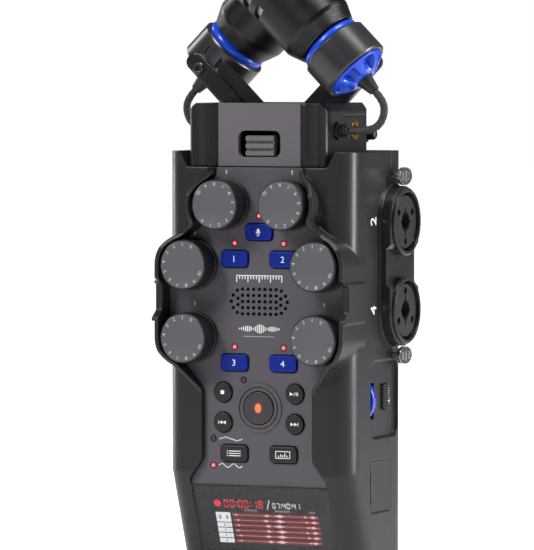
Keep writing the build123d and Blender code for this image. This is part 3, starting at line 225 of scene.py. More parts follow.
class Surface:
    """A Principled material with its node tree close to hand."""

    def __init__(self, name, color, roughness, metallic=0.0):
        self.material = bpy.data.materials.new(name)
        self.material.use_nodes = True
        self.nodes = self.material.node_tree.nodes
        self.links = self.material.node_tree.links
        self.shader = self.nodes["Principled BSDF"]
        self.shader.inputs["Base Color"].default_value = (*color, 1)
        self.shader.inputs["Roughness"].default_value = roughness
        self.shader.inputs["Metallic"].default_value = metallic
        self.normal = None
        self.color = color

    def set(self, **values):
        for socket, value in values.items():
            self.shader.inputs[socket.replace("_", " ")].default_value = value
        return self

    def place(self):
        return self.nodes.new("ShaderNodeTexCoord").outputs["Object"]

    def math(self, operation, *values):
        node = self.nodes.new("ShaderNodeMath")
        node.operation = operation
        for socket, value in zip(node.inputs, values):
            if isinstance(value, (int, float)):
                socket.default_value = value
            else:
                self.links.new(value, socket)
        return node.outputs[0]

    def axes(self):
        node = self.nodes.new("ShaderNodeSeparateXYZ")
        self.links.new(self.place(), node.inputs[0])
        return node.outputs

    def noise(self, scale, detail=3.0, stretch=None):
        node = self.nodes.new("ShaderNodeTexNoise")
        node.inputs["Scale"].default_value = scale
        node.inputs["Detail"].default_value = detail
        source = self.place()
        if stretch:
            mapping = self.nodes.new("ShaderNodeMapping")
            mapping.inputs["Scale"].default_value = stretch
            self.links.new(source, mapping.inputs["Vector"])
            source = mapping.outputs["Vector"]
        self.links.new(source, node.inputs["Vector"])
        return node.outputs["Fac"]

    def ramp(self, source, low, high, start=0.3, end=0.7):
        node = self.nodes.new("ShaderNodeMapRange")
        for socket, value in (("From Min", start), ("From Max", end), ("To Min", low), ("To Max", high)):
            node.inputs[socket].default_value = value
        self.links.new(source, node.inputs["Value"])
        return node.outputs["Result"]

    def rounded(self, radius):
        """Edges look rounded by radius."""
        node = self.nodes.new("ShaderNodeBevel")
        node.samples = BEVEL_SAMPLES
        node.inputs["Radius"].default_value = radius
        self.normal = node.outputs["Normal"]
        self.links.new(self.normal, self.shader.inputs["Normal"])

    def bump(self, height, strength, distance):
        node = self.nodes.new("ShaderNodeBump")
        node.inputs["Strength"].default_value = strength
        node.inputs["Distance"].default_value = distance
        self.links.new(height, node.inputs["Height"])
        if self.normal:
            self.links.new(self.normal, node.inputs["Normal"])
        self.normal = node.outputs["Normal"]
        self.links.new(self.normal, self.shader.inputs["Normal"])

    def tint(self, factor, other):
        node = self.nodes.new("ShaderNodeMix")
        node.data_type = "RGBA"
        node.inputs["A"].default_value = (*self.color, 1)
        node.inputs["B"].default_value = (*other, 1)
        self.links.new(factor, node.inputs["Factor"])
        self.links.new(node.outputs["Result"], self.shader.inputs["Base Color"])

    def rough(self, source, low, high):
        self.links.new(self.ramp(source, low, high), self.shader.inputs["Roughness"])


def moulded(name, color, roughness, grain=2200, depth=0.12, edge=0.25 * MM, light=1.35, gloss=0.35,
             **values):
    """Moulded plastic: fine spark texture, faint mottling and softened edges."""
    s = Surface(name, color, roughness).set(Specular_IOR_Level=gloss, **values)
    s.rounded(edge)
    s.bump(s.noise(grain, 2.0), depth, GRAIN_STEP)
    s.rough(s.noise(SHEEN_SCALE, 4.0), roughness - 0.05, roughness + 0.06)
    mottled = tuple(min(1.0, light * c + COLOUR_LIFT) for c in color)
    s.tint(s.ramp(s.noise(COLOUR_SCALE, 5.0), 0.0, 0.35), mottled)
    return s.material


BRUSH_EDGE = 0.2 * MM
BRUSH_SCALE = 900
BRUSH_STRENGTH = 0.12
BRUSH_DEPTH = 0.03 * MM


def brushed(name, color, roughness, along):
    """Metal with fine brushing. Each axis of the noise is scaled by along, so a low number runs it out."""
    s = Surface(name, color, roughness, metallic=1.0)
    s.rounded(BRUSH_EDGE)
    strokes = s.noise(BRUSH_SCALE, 3.0, stretch=along)
    s.bump(strokes, BRUSH_STRENGTH, BRUSH_DEPTH)
    s.rough(strokes, roughness - 0.05, roughness + 0.08)
    return s.material


def plain(name, color, roughness, edge=0.1 * MM, **values):
    """A smooth surface with slight unevenness in its gloss."""
    s = Surface(name, color, roughness).set(**values)
    s.rounded(edge)
    s.rough(s.noise(300, 3.0), max(0.02, roughness - 0.05), roughness + 0.06)
    return s.material


def glowing(name, color, strength):
    """A lit surface, darker in itself than the light that it gives."""
    s = Surface(name, tuple(0.4 * c for c in color), 0.4)
    s.set(Emission_Color=(*color, 1), Emission_Strength=strength)
    s.rough(s.noise(400, 2.0), 0.35, 0.45)
    return s.material


GROOVE_PITCH = 0.55 * MM
GROOVED = (8.9 * MM, 12.8 * MM)  # along the barrel from the middle of its ring


def barrel_black():
    """Anodised metal, with fine turned grooves on the shoulder behind the barrel."""
    s = Surface("barrel_black", (0.036, 0.035, 0.036), 0.33, metallic=1.0)
    s.rounded(0.3 * MM)
    x, _, z = s.axes()
    along = s.math("MULTIPLY", s.math("SUBTRACT", z, s.math("ABSOLUTE", x)), math.sqrt(0.5))
    start = (MIC_CENTRE.z - MIC_CENTRE.x) * math.sqrt(0.5)
    groove = s.math("SINE", s.math("MULTIPLY", along, 2 * math.pi / GROOVE_PITCH))
    low, high = (start + reach for reach in GROOVED)
    shoulder = s.math("MULTIPLY", s.math("GREATER_THAN", along, low),
                      s.math("LESS_THAN", along, high))
    s.bump(s.math("MULTIPLY", groove, shoulder), 0.55, 0.12 * MM)
    s.bump(s.noise(2600, 2.0), 0.08, 0.04 * MM)
    s.rough(s.noise(120, 3.0), 0.33, 0.40)
    return s.material


GLOW_SPREAD = (2.3 * MM, 2.8 * MM)


def record_face():
    """Black button with a glow that fades away from its centre."""
    s = Surface("record_face", (0.030, 0.029, 0.032), 0.42)
    s.rounded(0.3 * MM)
    s.bump(s.noise(3000, 2.0), 0.05, 0.05 * MM)
    centre = middle("record_button")
    x, _, z = s.axes()
    across = s.math("DIVIDE", s.math("SUBTRACT", x, centre.x), GLOW_SPREAD[0])
    up = s.math("DIVIDE", s.math("SUBTRACT", z, centre.z), GLOW_SPREAD[1])
    far = s.math("SQRT", s.math("ADD", s.math("MULTIPLY", across, across), s.math("MULTIPLY", up, up)))
    glow = s.ramp(far, 0.55, 0.0, 0.3, 1.0)
    s.set(Emission_Color=(0.9, 0.10, 0.04, 1))
    s.links.new(s.math("MULTIPLY", glow, glow), s.shader.inputs["Emission Strength"])
    return s.material


WIRE_PITCH = 0.34 * MM


def woven_metal():
    """Fine wire cloth behind the slots of the microphones."""
    s = Surface("woven_metal", (0.74, 0.66, 0.63), 0.38, metallic=0.85)
    x, _, z = s.axes()
    pitch = 2 * math.pi / WIRE_PITCH
    over = s.math("SINE", s.math("MULTIPLY", s.math("ADD", x, z), pitch))
    under = s.math("SINE", s.math("MULTIPLY", s.math("SUBTRACT", x, z), pitch))
    weave = s.math("MULTIPLY", over, under)
    s.bump(weave, 0.5, 0.08 * MM)
    s.tint(s.ramp(weave, 0.0, 0.45, -1.0, 0.2), (0.40, 0.35, 0.34))
    return s.material


def glass():
    """Clear window with a low index, so that it adds little glare."""
    s = Surface("screen_glass", (0.85, 0.86, 0.88), 0.03).set(Transmission_Weight=1.0, IOR=1.18)
    s.rough(s.noise(200, 2.0), 0.02, 0.05)
    return s.material


housing_black = moulded("housing_black", (0.014, 0.014, 0.016), 0.34, edge=0.9 * MM)
panel_grey = moulded("panel_grey", (0.080, 0.074, 0.086), 0.44, grain=3000, depth=0.06)
plate_grey = moulded("plate_grey", (0.120, 0.110, 0.123), 0.42, grain=2600, depth=0.06, light=1.1)
knob_top_grey = moulded("knob_top_grey", (0.090, 0.088, 0.100), 0.45, grain=2600, depth=0.08, light=1.1)
knob_black = moulded("knob_black", (0.016, 0.016, 0.018), 0.42)
key_blue = moulded("key_blue", (0.0006, 0.015, 0.22), 0.36, grain=3500, depth=0.04, light=1.1, gloss=0.2)
key_black = moulded("key_black", (0.014, 0.014, 0.017), 0.34, grain=3500, depth=0.04)
latch_grey = moulded("latch_grey", (0.13, 0.12, 0.13), 0.4, edge=0.15 * MM)
jack_black = moulded("jack_black", (0.016, 0.016, 0.018), 0.26, edge=0.35 * MM)
insert_black = moulded("insert_black", (0.018, 0.018, 0.020), 0.34, edge=0.2 * MM)
cover_rubber = moulded("cover_rubber", (0.026, 0.026, 0.028), 0.62, grain=1800, depth=0.2)
ring_black = moulded("ring_black", (0.018, 0.018, 0.020), 0.30, edge=0.35 * MM, gloss=0.6)
arm_black = moulded("arm_black", (0.013, 0.013, 0.014), 0.27, edge=1.3 * MM)
blue_rubber = moulded("blue_rubber", (0.004, 0.050, 0.50), 0.30, grain=1500, depth=0.1, edge=0.3 * MM,
                      Coat_Weight=0.25)
wheel_blue = plain("wheel_blue", (0.006, 0.045, 0.50), 0.22, edge=0.3 * MM, Coat_Weight=0.4)
silver = brushed("silver", (0.62, 0.58, 0.54), 0.24, (1, 1, 0.05))
dark_steel = brushed("dark_steel", (0.10, 0.10, 0.105), 0.3, (1, 1, 0.2))
steel = brushed("steel", (0.42, 0.42, 0.43), 0.3, (1, 1, 0.2))
gold = brushed("gold", (0.80, 0.50, 0.12), 0.22, (1, 1, 1))
board_green = moulded("board_green", (0.010, 0.075, 0.030), 0.35)
part_black = moulded("part_black", (0.03, 0.03, 0.033), 0.5)
cell_wrap = plain("cell_wrap", (0.055, 0.062, 0.075), 0.3)
lead_sleeve = moulded("lead_sleeve", (0.026, 0.025, 0.024), 0.6, grain=1400, depth=0.4)
gland_rubber = moulded("gland_rubber", (0.018, 0.018, 0.018), 0.5, grain=1400, depth=0.2)
ink_white = plain("ink_white", (0.86, 0.86, 0.87), 0.5)
number_white = plain("number_white", (0.55, 0.55, 0.57), 0.5)
ink_grey = plain("ink_grey", (0.42, 0.42, 0.44), 0.5)
led_red = glowing("led_red", (0.72, 0.045, 0.06), 0.75)
led_core = glowing("led_core", (1.0, 0.32, 0.34), 0.9)
led_dark = plain("led_dark", (0.035, 0.030, 0.032), 0.3)
led_ring = plain("led_ring", (0.010, 0.009, 0.010), 0.4)
record_glow = glowing("record_glow", (1.0, 0.13, 0.05), 1.5)
screen_black = plain("screen_black", (0.006, 0.006, 0.007), 0.2)
screen_red = glowing("screen_red", (0.80, 0.030, 0.040), 0.85)
screen_maroon = glowing("screen_maroon", (0.15, 0.006, 0.008), 0.8)
screen_white = glowing("screen_white", (0.80, 0.78, 0.78), 0.85)
screen_pink = glowing("screen_pink", (0.85, 0.50, 0.50), 0.9)
screen_grey = glowing("screen_grey", (0.30, 0.30, 0.31), 0.8)
screen_orange = glowing("screen_orange", (0.95, 0.28, 0.03), 1.0)
screen_glass = glass()

TRACKS = (1, 2, 3, 4)
NODE_MATERIALS = {
    housing_black: ["front_housing", "rear_housing", "battery_door", "capsule_shell"],
    panel_grey: ["front_panel"],
    plate_grey: ["capsule_front_plate"],
    key_blue: ["mic_button"] + [f"track_button_{n}" for n in TRACKS],
    key_black: ["stop_button", "play_button", "rewind_button", "forward_button",
                "function_button_left", "function_button_right", "enter_key", "power_switch",
                "capsule_release_button"],
    record_face(): ["record_button"],
    latch_grey: ["capsule_latch"],
    wheel_blue: ["thumb_wheel"],
    part_black: ["lcd_module", "potentiometers", "tact_switches", "speaker", "card_socket",
                 "capsule_socket"],
    steel: ["housing_screws", "mic_elements", "battery_contacts", "side_sockets"],
    board_green: ["control_board", "main_board"],
    jack_black: ["jack_plates", "jack_shells"],
    insert_black: ["jack_inserts"],
    silver: [f"release_lever_{n}" for n in TRACKS],
    cell_wrap: ["batteries"],
    gold: ["tripod_bush", "line_in_jack"],
    cover_rubber: ["card_cover"],
    ring_black: ["shock_rings"],
    arm_black: ["capsule_arms"],
    barrel_black(): ["mic_barrels"],
    gland_rubber: ["cable_glands"],
}

for material, names in NODE_MATERIALS.items():
    for name in names:
        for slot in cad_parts[name].material_slots:
            slot.material = material


# ---------------------------------------------------------------- drawing kit

MARK_THICK = 0.05
SHARP_ANGLE = math.radians(35)


class Drawing:
    """Collects the faces of one piece. Lengths are millimetres, places are matrices in metres."""

    def __init__(self):
        self.mesh = bmesh.new()
        self.materials = []

    def corners(self, points, place):
        return [self.mesh.verts.new(place @ (Vector(p) * MM)) for p in points]

    def fill(self, corners, faces, material):
        if material not in self.materials:
            self.materials.append(material)
        for face in faces:
            made = self.mesh.faces.new([corners[i] for i in face])
            made.material_index = self.materials.index(material)

    def add(self, points, faces, material, place):
        self.fill(self.corners(points, place), faces, material)

    def slab(self, outline, material, place, height=MARK_THICK, base=0.0):
        """Flat closed piece, its outline given counter-clockwise in local X and Y."""
        n = len(outline)
        points = [(x, y, base) for x, y in outline] + [(x, y, base + height) for x, y in outline]
        faces = [tuple(reversed(range(n))), tuple(range(n, 2 * n))]
        faces += [(i, (i + 1) % n, n + (i + 1) % n, n + i) for i in range(n)]
        self.add(points, faces, material, place)

    def bar(self, x, y, width, height, material, place, thick=MARK_THICK):
        w, h = width / 2, height / 2
        self.slab([(x - w, y - h), (x + w, y - h), (x + w, y + h), (x - w, y + h)], material, place, thick)

    def disc(self, x, y, radius, material, place, thick=MARK_THICK, steps=32):
        ring = [(x + radius * math.cos(a), y + radius * math.sin(a))
                for a in (2 * math.pi * i / steps for i in range(steps))]
        self.slab(ring, material, place, thick)

    def stroke(self, path, width, material, place, thick=MARK_THICK):
        """A line of even width through the points of path."""
        left, right = [], []
        for i, (x, y) in enumerate(path):
            ax, ay = path[max(i - 1, 0)]
            bx, by = path[min(i + 1, len(path) - 1)]
            run = math.hypot(bx - ax, by - ay)
            nx, ny = -(by - ay) / run * width / 2, (bx - ax) / run * width / 2
            left.append((x + nx, y + ny))
            right.append((x - nx, y - ny))
        self.slab(right + left[::-1], material, place, thick)

    def lathe(self, rows, material_of, place, steps=64, shape=None):
        """Turn rows of (radius, height) about local Z. shape(row, step) moves a radius.
        A row of radius 0 closes the end."""
        points, rings = [], []
        for row, (r, z) in enumerate(rows):
            if r == 0:
                rings.append([len(points)] * steps)
                points.append((0, 0, z))
                continue
            rings.append(list(range(len(points), len(points) + steps)))
            for step in range(steps):
                a = 2 * math.pi * step / steps
                radius = r + (shape(row, step) if shape else 0)
                points.append((radius * math.cos(a), radius * math.sin(a), z))
        groups = {}
        for row in range(len(rows) - 1):
            low, high = rings[row], rings[row + 1]
            for step in range(steps):
                after = (step + 1) % steps
                face = tuple(dict.fromkeys((low[step], low[after], high[after], high[step])))
                if len(face) > 2:
                    groups.setdefault(material_of(row), []).append(face)
        corners = self.corners(points, place)
        for material, faces in groups.items():
            self.fill(corners, faces, material)

    def label(self, text, height, material, place):
        """A number, as tall as height, in the middle of the place."""
        points, faces = glyphs(text)
        self.add([(x * height, y * height, z * MARK_THICK) for x, y, z in points], faces, material, place)

    def piece(self, name, body, replaces=()):
        """Finish the mesh, with the body that it rides on and the nodes that it stands for."""
        bmesh.ops.recalc_face_normals(self.mesh, faces=self.mesh.faces[:])
        mesh = bpy.data.meshes.new(name)
        self.mesh.to_mesh(mesh)
        self.mesh.free()
        for material in self.materials:
            mesh.materials.append(material)
        mesh.shade_smooth()
        mesh.set_sharp_from_angle(angle=SHARP_ANGLE)
        made = bpy.data.objects.new(name, mesh)
        scene.collection.objects.link(made)
        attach(made, body)
        if replaces:
            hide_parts(*replaces)


GLYPH_MERGE = 1e-5
known_glyphs = {}


def glyphs(text):
    """Closed shape of a number, one unit tall and centred."""
    if text not in known_glyphs:
        curve = bpy.data.curves.new("number", "FONT")
        curve.body = text
        curve.size = 1.0
        curve.extrude = 0.5
        curve.resolution_u = 3
        written = bpy.data.objects.new("number", curve)
        mesh = bpy.data.meshes.new_from_object(written)
        shape = bmesh.new()
        shape.from_mesh(mesh)
        bmesh.ops.remove_doubles(shape, verts=shape.verts[:], dist=GLYPH_MERGE)
        points = [v.co.copy() for v in shape.verts]
        faces = [tuple(v.index for v in f.verts) for f in shape.faces]
        shape.free()
        bpy.data.objects.remove(written)
        bpy.data.curves.remove(curve)
        bpy.data.meshes.remove(mesh)
        lows = [min(p[i] for p in points) for i in range(3)]
        highs = [max(p[i] for p in points) for i in range(3)]
        tall = highs[1] - lows[1]
        across, up = (lows[0] + highs[0]) / 2, (lows[1] + highs[1]) / 2
        centred = [((x - across) / tall, (y - up) / tall, z - lows[2]) for x, y, z in points]
        known_glyphs[text] = (centred, faces)
    return known_glyphs[text]


CORNER_STEPS = 6


def rounded_box(width, height, radius, x=0.0, y=0.0):
    """Counter-clockwise outline of a rectangle with round corners."""
    outline = []
    for cx, cy, start in ((1, 1, 0), (-1, 1, 90), (-1, -1, 180), (1, -1, 270)):
        for i in range(CORNER_STEPS + 1):
            a = math.radians(start + 90 * i / CORNER_STEPS)
            outline.append((x + cx * (width / 2 - radius) + radius * math.cos(a),
                            y + cy * (height / 2 - radius) + radius * math.sin(a)))
    return outline


def arc(width, height, start, stop, steps):
    """Points of an arc of an ellipse with these half axes, between two angles in degrees."""
    angles = (math.radians(start + (stop - start) * i / steps) for i in range(steps + 1))
    return [(width * math.cos(a), height * math.sin(a)) for a in angles]


def ellipse(width, height, steps):
    """Counter-clockwise outline with these half axes."""
    return arc(width, height, 0, 360, steps)[:-1]


# ---------------------------------------------------------------- knobs

KNOB_R = 8.15
SKIRT_R = 8.5
KNOB_HIGH = 9.1
STEM_R = 2.95
RIDGES = 66
NUMBER_R = 6.75
NUMBER_TALL = 1.25
NUMBER_STEP = 27.4  # degrees from one number to the next
NUMBERS = range(11)
NUMBER_SINK = 0.01
TOP_DISH = 0.06
KNURL_DEPTH = 0.2
KNURLED_ROWS = (8, 9)
FIRST_TOP_ROW = 11
KNOBS = {"mic_knob_left": 8, "mic_knob_right": 8} | {f"gain_knob_{n}": 1 for n in TRACKS}  # number on top


def make_knob(name, at_top):
    """Knurled knob with a smooth skirt and numbers from 0 to 10 round its top."""
    lo, hi = box(name)
    base = lo.y + KNOB_HIGH * MM
    stem = (hi.y - base) / MM
    place = turned(((lo.x + hi.x) / 2, base, (lo.z + hi.z) / 2), (1, 0, 0), (0, 0, 1))
    rows = [(0, -stem), (STEM_R, -stem), (STEM_R, 0), (SKIRT_R - 0.15, 0), (SKIRT_R, 0.2), (SKIRT_R, 1.3),
            (SKIRT_R - 0.15, 1.45), (KNOB_R - 0.2, 1.5), (KNOB_R, 1.7), (KNOB_R, 8.3), (KNOB_R - 0.1, 8.55),
            (KNOB_R - 0.5, 8.98), (KNOB_R - 0.65, KNOB_HIGH), (KNOB_R - 0.85, KNOB_HIGH),
            (KNOB_R - 1.0, KNOB_HIGH - TOP_DISH), (0, KNOB_HIGH - TOP_DISH)]
    drawing = Drawing()
    drawing.lathe(rows, lambda row: knob_top_grey if row >= FIRST_TOP_ROW else knob_black, place,
                  steps=3 * RIDGES,
                  shape=lambda row, step: -KNURL_DEPTH if row in KNURLED_ROWS and step % 3 == 0 else 0)
    for number in NUMBERS:
        angle = math.radians(90 + (number - at_top) * NUMBER_STEP)
        spin = Matrix.Rotation(angle - math.pi / 2, 4, "Z")
        lift = Matrix.Translation((0, NUMBER_R * MM, (KNOB_HIGH - TOP_DISH - NUMBER_SINK) * MM))
        drawing.label(str(number), NUMBER_TALL, number_white, place @ spin @ lift)
    drawing.piece(f"{name}_detailed", name, [name])


for knob, at_top in KNOBS.items():
    make_knob(knob, at_top)


# ---------------------------------------------------------------- marks on the keys and the panel

TRACK_NUMBER_TALL = 2.0


def key_top(name):
    """Flat drawing in the middle of a key's face."""
    centre = middle(name)
    return turned((centre.x, front_of(name), centre.z), (1, 0, 0), (0, 0, 1))


for n in TRACKS:
    drawing = Drawing()
    drawing.label(str(n), TRACK_NUMBER_TALL, ink_white, key_top(f"track_button_{n}"))
    drawing.piece(f"track_number_{n}", f"track_button_{n}")


def microphone_symbol(drawing, place):
    """A capsule in its cradle, on a stand."""
    drawing.slab(rounded_box(0.9, 1.5, 0.44, 0, 0.35), ink_white, place)
    cradle = [(x, 0.2 + y) for x, y in arc(0.75, 0.85, 180, 360, 12)]
    drawing.stroke(cradle, 0.2, ink_white, place)
    drawing.bar(0, -0.9, 0.2, 0.45, ink_white, place)
    drawing.bar(0, -1.15, 1.0, 0.2, ink_white, place)


def triangle(x, way, size=1.0):
    """Arrow head of a transport symbol whose flat side is at x."""
    tip = (x + way * size, 0)
    return [(x, -size / 2), tip, (x, size / 2)][::way]


def stop_symbol(drawing, place):
    drawing.bar(0, 0, 1.25, 1.25, ink_white, place)


def play_symbol(drawing, place):
    """Play, a slash and pause."""
    drawing.slab(triangle(-1.5, 1, 1.2), ink_white, place)
    drawing.stroke([(-0.15, -0.6), (0.3, 0.6)], 0.18, ink_white, place)
    for x in (0.75, 1.25):
        drawing.bar(x, 0, 0.25, 1.1, ink_white, place)


def skip_symbol(way):
    """Two arrow heads and a bar, to the right (way 1) or to the left (way -1)."""
    def draw(drawing, place):
        for x in (-way * 1.25, 0.0):
            drawing.slab(triangle(x, way, 1.15), ink_white, place)
        drawing.bar(way * 1.35, 0, 0.22, 1.1, ink_white, place)
    return draw


def menu_symbol(drawing, place):
    """A list of three lines, each with its dot."""
    for y in (-0.75, 0, 0.75):
        drawing.disc(-2.2, y, 0.2, ink_white, place, steps=12)
        drawing.bar(0.45, y, 4.2, 0.26, ink_white, place)


def display_symbol(drawing, place):
    """Bars of uneven height in a frame."""
    w, h, line = 2.5, 1.1, 0.24
    for y in (-h, h):
        drawing.bar(0, y, 2 * w, line, ink_white, place)
    for x in (-w, w):
        drawing.bar(x, 0, line, 2 * h + line, ink_white, place)
    for i, tall in enumerate((0.5, 1.0, 0.7, 1.3, 0.6)):
        drawing.bar(-1.5 + 0.75 * i, -0.75 + tall / 2, 0.32, tall, ink_white, place)


KEY_SYMBOLS = {
    "mic_button": microphone_symbol, "stop_button": stop_symbol, "play_button": play_symbol,
    "rewind_button": skip_symbol(-1), "forward_button": skip_symbol(1),
    "function_button_left": menu_symbol, "function_button_right": display_symbol,
}
for name, draw in KEY_SYMBOLS.items():
    drawing = Drawing()
    draw(drawing, key_top(name))
    drawing.piece(f"{name}_symbol", name)


def make_record_light():
    """Lit oval in the middle of the record button."""
    drawing = Drawing()
    drawing.slab(ellipse(1.0, 1.45, 30), record_glow, key_top("record_button"), height=0.25, base=-0.05)
    drawing.piece("record_light", "record_button")


make_record_light()

KNOB_MARKS = [(side * x, z) for x, z in ((11.65, 145.4), (23.0, 125.4), (23.0, 102.8)) for side in (-1, 1)]
BANNER_Z = 110.7
WAVE_Z = 94.2
STEPPED_WAVE_Z = 58.6
SMOOTH_WAVE_Z = 49.9
WAVE_STEPS = (0, 0, 1, 1, 2, 2, 1, 1, 0, 0, -1, -1, -2, -2, -1, -1, 0)
WAVE_LINE = 0.24
MODE_MARK_X = (-14.3, -6.0)


def draw_knob_marks(drawing):
    """An arrow over each knob."""
    for x, z in KNOB_MARKS:
        place = on_face(x, z)
        drawing.bar(0, -0.15, 0.3, 1.3, ink_white, place)
        drawing.slab([(-0.45, 0.1), (0.45, 0.1), (0, 0.8)], ink_white, place)


def draw_scale(drawing):
    """A ruled scale, with every fourth tick longer."""
    place = on_face(0, BANNER_Z)
    for i in range(17):
        centre, tall = (0.5, 1.0) if i % 4 else (0.0, 2.0)
        drawing.bar(-8 + i, centre, 0.34, tall, ink_white, place)
    drawing.bar(0, 1.15, 16.34, 0.26, ink_white, place)


def draw_wave(drawing):
    """A burst of level bars over a thin line."""
    place = on_face(0, WAVE_Z)
    for i in range(21):
        tall = 0.5 + 2.5 * abs(math.sin(0.45 * i)) * math.exp(-((i - 10) / 8) ** 2)
        drawing.bar(-7 + 0.7 * i, 0.4, 0.36, tall, ink_white, place)
    drawing.bar(0, -2.1, 11.0, 0.2, ink_grey, place)


def draw_mode_marks(drawing):
    """A stepped wave and a smooth one."""
    x0, x1 = MODE_MARK_X
    stepped = on_face(0, STEPPED_WAVE_Z)
    run = (x1 - x0) / len(WAVE_STEPS)
    for i, level in enumerate(WAVE_STEPS):
        drawing.bar(x0 + run * (i + 0.5), 0.28 * level, run * 1.02, WAVE_LINE, ink_white, stepped)
    line = [(x0 + (x1 - x0) * i / 32, 0.62 * math.sin(i * math.pi / 8)) for i in range(33)]
    drawing.stroke(line, WAVE_LINE, ink_white, on_face(0, SMOOTH_WAVE_Z))


def make_panel_marks():
    """White marks, in place of any lettering."""
    drawing = Drawing()
    for draw in (draw_knob_marks, draw_scale, draw_wave, draw_mode_marks):
        draw(drawing)
    drawing.piece("panel_marks", "recorder")


make_panel_marks()

LIT = [(0, 131.2), (-8.7, 122.3), (8.7, 122.3), (-8.7, 88.6), (8.7, 88.6), (-16.3, SMOOTH_WAVE_Z)]
UNLIT = [(-5.5, 77.9), (-16.3, STEPPED_WAVE_Z)]
LIGHT_CORE_ROW = 4


def make_lights_on_panel():
    """Domed lights, each in a thin dark ring."""
    drawing = Drawing()
    back = (box("status_leds")[1].y - FACE_Y) / MM
    for x, z in LIT + UNLIT:
        place = on_face(x, z)
        lit = (x, z) in LIT
        dome, core = (led_red, led_core) if lit else (led_dark, led_dark)
        drawing.lathe([(0, -back), (0.8, -back), (0.8, 0.1), (0.66, 0.26), (0.45, 0.36), (0.22, 0.42),
                       (0, 0.44)], lambda row: core if row >= LIGHT_CORE_ROW else dome, place, steps=24)
        drawing.lathe([(0.86, 0.0), (1.16, 0.0), (1.10, 0.12), (0.92, 0.12), (0.86, 0.0)],
                      lambda row: led_ring, place, steps=32)
    drawing.piece("status_lights", "recorder", ["status_leds"])


make_lights_on_panel()


# ---------------------------------------------------------------- screen

SCREEN_TILT = math.radians(21.0)
SCREEN_TOP = spot(0, 0, 43.0) + Vector((0, FACE_Y, 0))
LENS_SIZE = (48.0, 38.0)
LENS_THICK = 1.2
GLASS_THICK = 0.85
GLASS_RECESS = 0.12
LENS_CORNER = 1.2
IMAGE_GAP = 0.14  # from the window down to the picture
BACKING_GAP = 0.15
INK = 0.03  # thickness of the picture's marks
FINE_INK = 0.036
IMAGE_SIZE = (42.0, 31.6)
IMAGE_TOP = 3.3
TRACK_ROWS = 6
ROW_TOP = 6.4
ROW_PITCH = 1.87
ROW_TALL = 1.55
SEGMENTS = {"0": "abcdef", "1": "bc", "4": "bcfg", "7": "abc", "8": "abcdefg"}
SLOPE = turned(SCREEN_TOP, (1, 0, 0), (0, math.sin(-SCREEN_TILT), math.cos(SCREEN_TILT)))
IMAGE_CORNER = (-IMAGE_SIZE[0] / 2 * MM, -IMAGE_TOP * MM, -(GLASS_THICK + IMAGE_GAP) * MM)
IMAGE = SLOPE @ Matrix.Translation(IMAGE_CORNER)


def segment_digit(drawing, digit, x, y, tall, material):
    """A seven-segment figure whose top left corner is at x, y."""
    wide, line = 0.54 * tall, 0.13 * tall
    half, post, beam = tall / 2, tall / 2 - 1.2 * line, wide - 1.2 * line
    bars = {
        "a": (wide / 2, -line / 2, beam, line), "g": (wide / 2, -half, beam, line),
        "d": (wide / 2, -tall + line / 2, beam, line), "f": (line / 2, -half / 2, line, post),
        "b": (wide - line / 2, -half / 2, line, post), "e": (line / 2, -1.5 * half, line, post),
        "c": (wide - line / 2, -1.5 * half, line, post),
    }
    for name in SEGMENTS[digit]:
        cx, cy, w, h = bars[name]
        drawing.bar(x + cx, y + cy, w, h, material, IMAGE, INK)


def clock(drawing, text, x, y, tall, material):
    """Figures and colons in a row whose top left corner is at x, y."""
    dot = 0.15 * tall
    for sign in text:
        if sign == ":":
            for share in (0.3, 0.7):
                drawing.bar(x + 0.1 * tall, y - share * tall, dot, dot, material, IMAGE, INK)
            x += 0.32 * tall
        else:
            segment_digit(drawing, sign, x, y, tall, material)
            x += 0.72 * tall


def draw_tracks(drawing):
    """Dark rows, each with a thin line and bursts of sound along it."""
    left, right = 9.4, 40.0
    bursts = ((11.0, 0.9, 0.35), (21.5, 1.5, 0.5), (26.0, 2.4, 0.66), (35.6, 0.9, 0.4), (38.0, 1.4, 0.6))
    for row in range(TRACK_ROWS):
        y = -ROW_TOP - ROW_PITCH * row - ROW_TALL / 2
        drawing.bar((left + right) / 2, y, right - left, ROW_TALL, screen_maroon, IMAGE, INK)
        drawing.bar((left + right) / 2, y, right - left, 0.10, screen_pink, IMAGE, 0.034)
        for centre, long, tall in bursts:
            x = centre + 0.35 * math.sin(2.1 * row + centre)
            outline = [(x - long, y), (x - 0.3 * long, y - 0.5 * tall), (x, y - tall),
                       (x + 0.35 * long, y - 0.4 * tall), (x + long, y),
                       (x + 0.35 * long, y + 0.4 * tall), (x, y + tall),
                       (x - 0.3 * long, y + 0.5 * tall)]
            drawing.slab(outline, screen_pink, IMAGE, 0.04)


def draw_labels(drawing):
    """White tabs at the left of the rows: one for the first two, then one for each."""
    left, wide = 3.4, 5.2
    y = -ROW_TOP - ROW_PITCH + 0.15
    drawing.bar(left + wide / 2, y, wide, 2 * ROW_PITCH - 0.3, screen_white, IMAGE, INK)
    for x in (left + 1.4, left + 3.9):
        drawing.bar(x, y, 0.9, 1.5, screen_grey, IMAGE, FINE_INK)
    for row in range(2, TRACK_ROWS):
        y = -ROW_TOP - ROW_PITCH * row - ROW_TALL / 2
        drawing.bar(left + wide / 2, y, wide, ROW_TALL, screen_white, IMAGE, INK)
        drawing.bar(left + wide / 2, y, 0.5, 0.9, screen_grey, IMAGE, FINE_INK)
        drawing.bar(left + wide * 0.8, y, 0.12, ROW_TALL, screen_grey, IMAGE, FINE_INK)


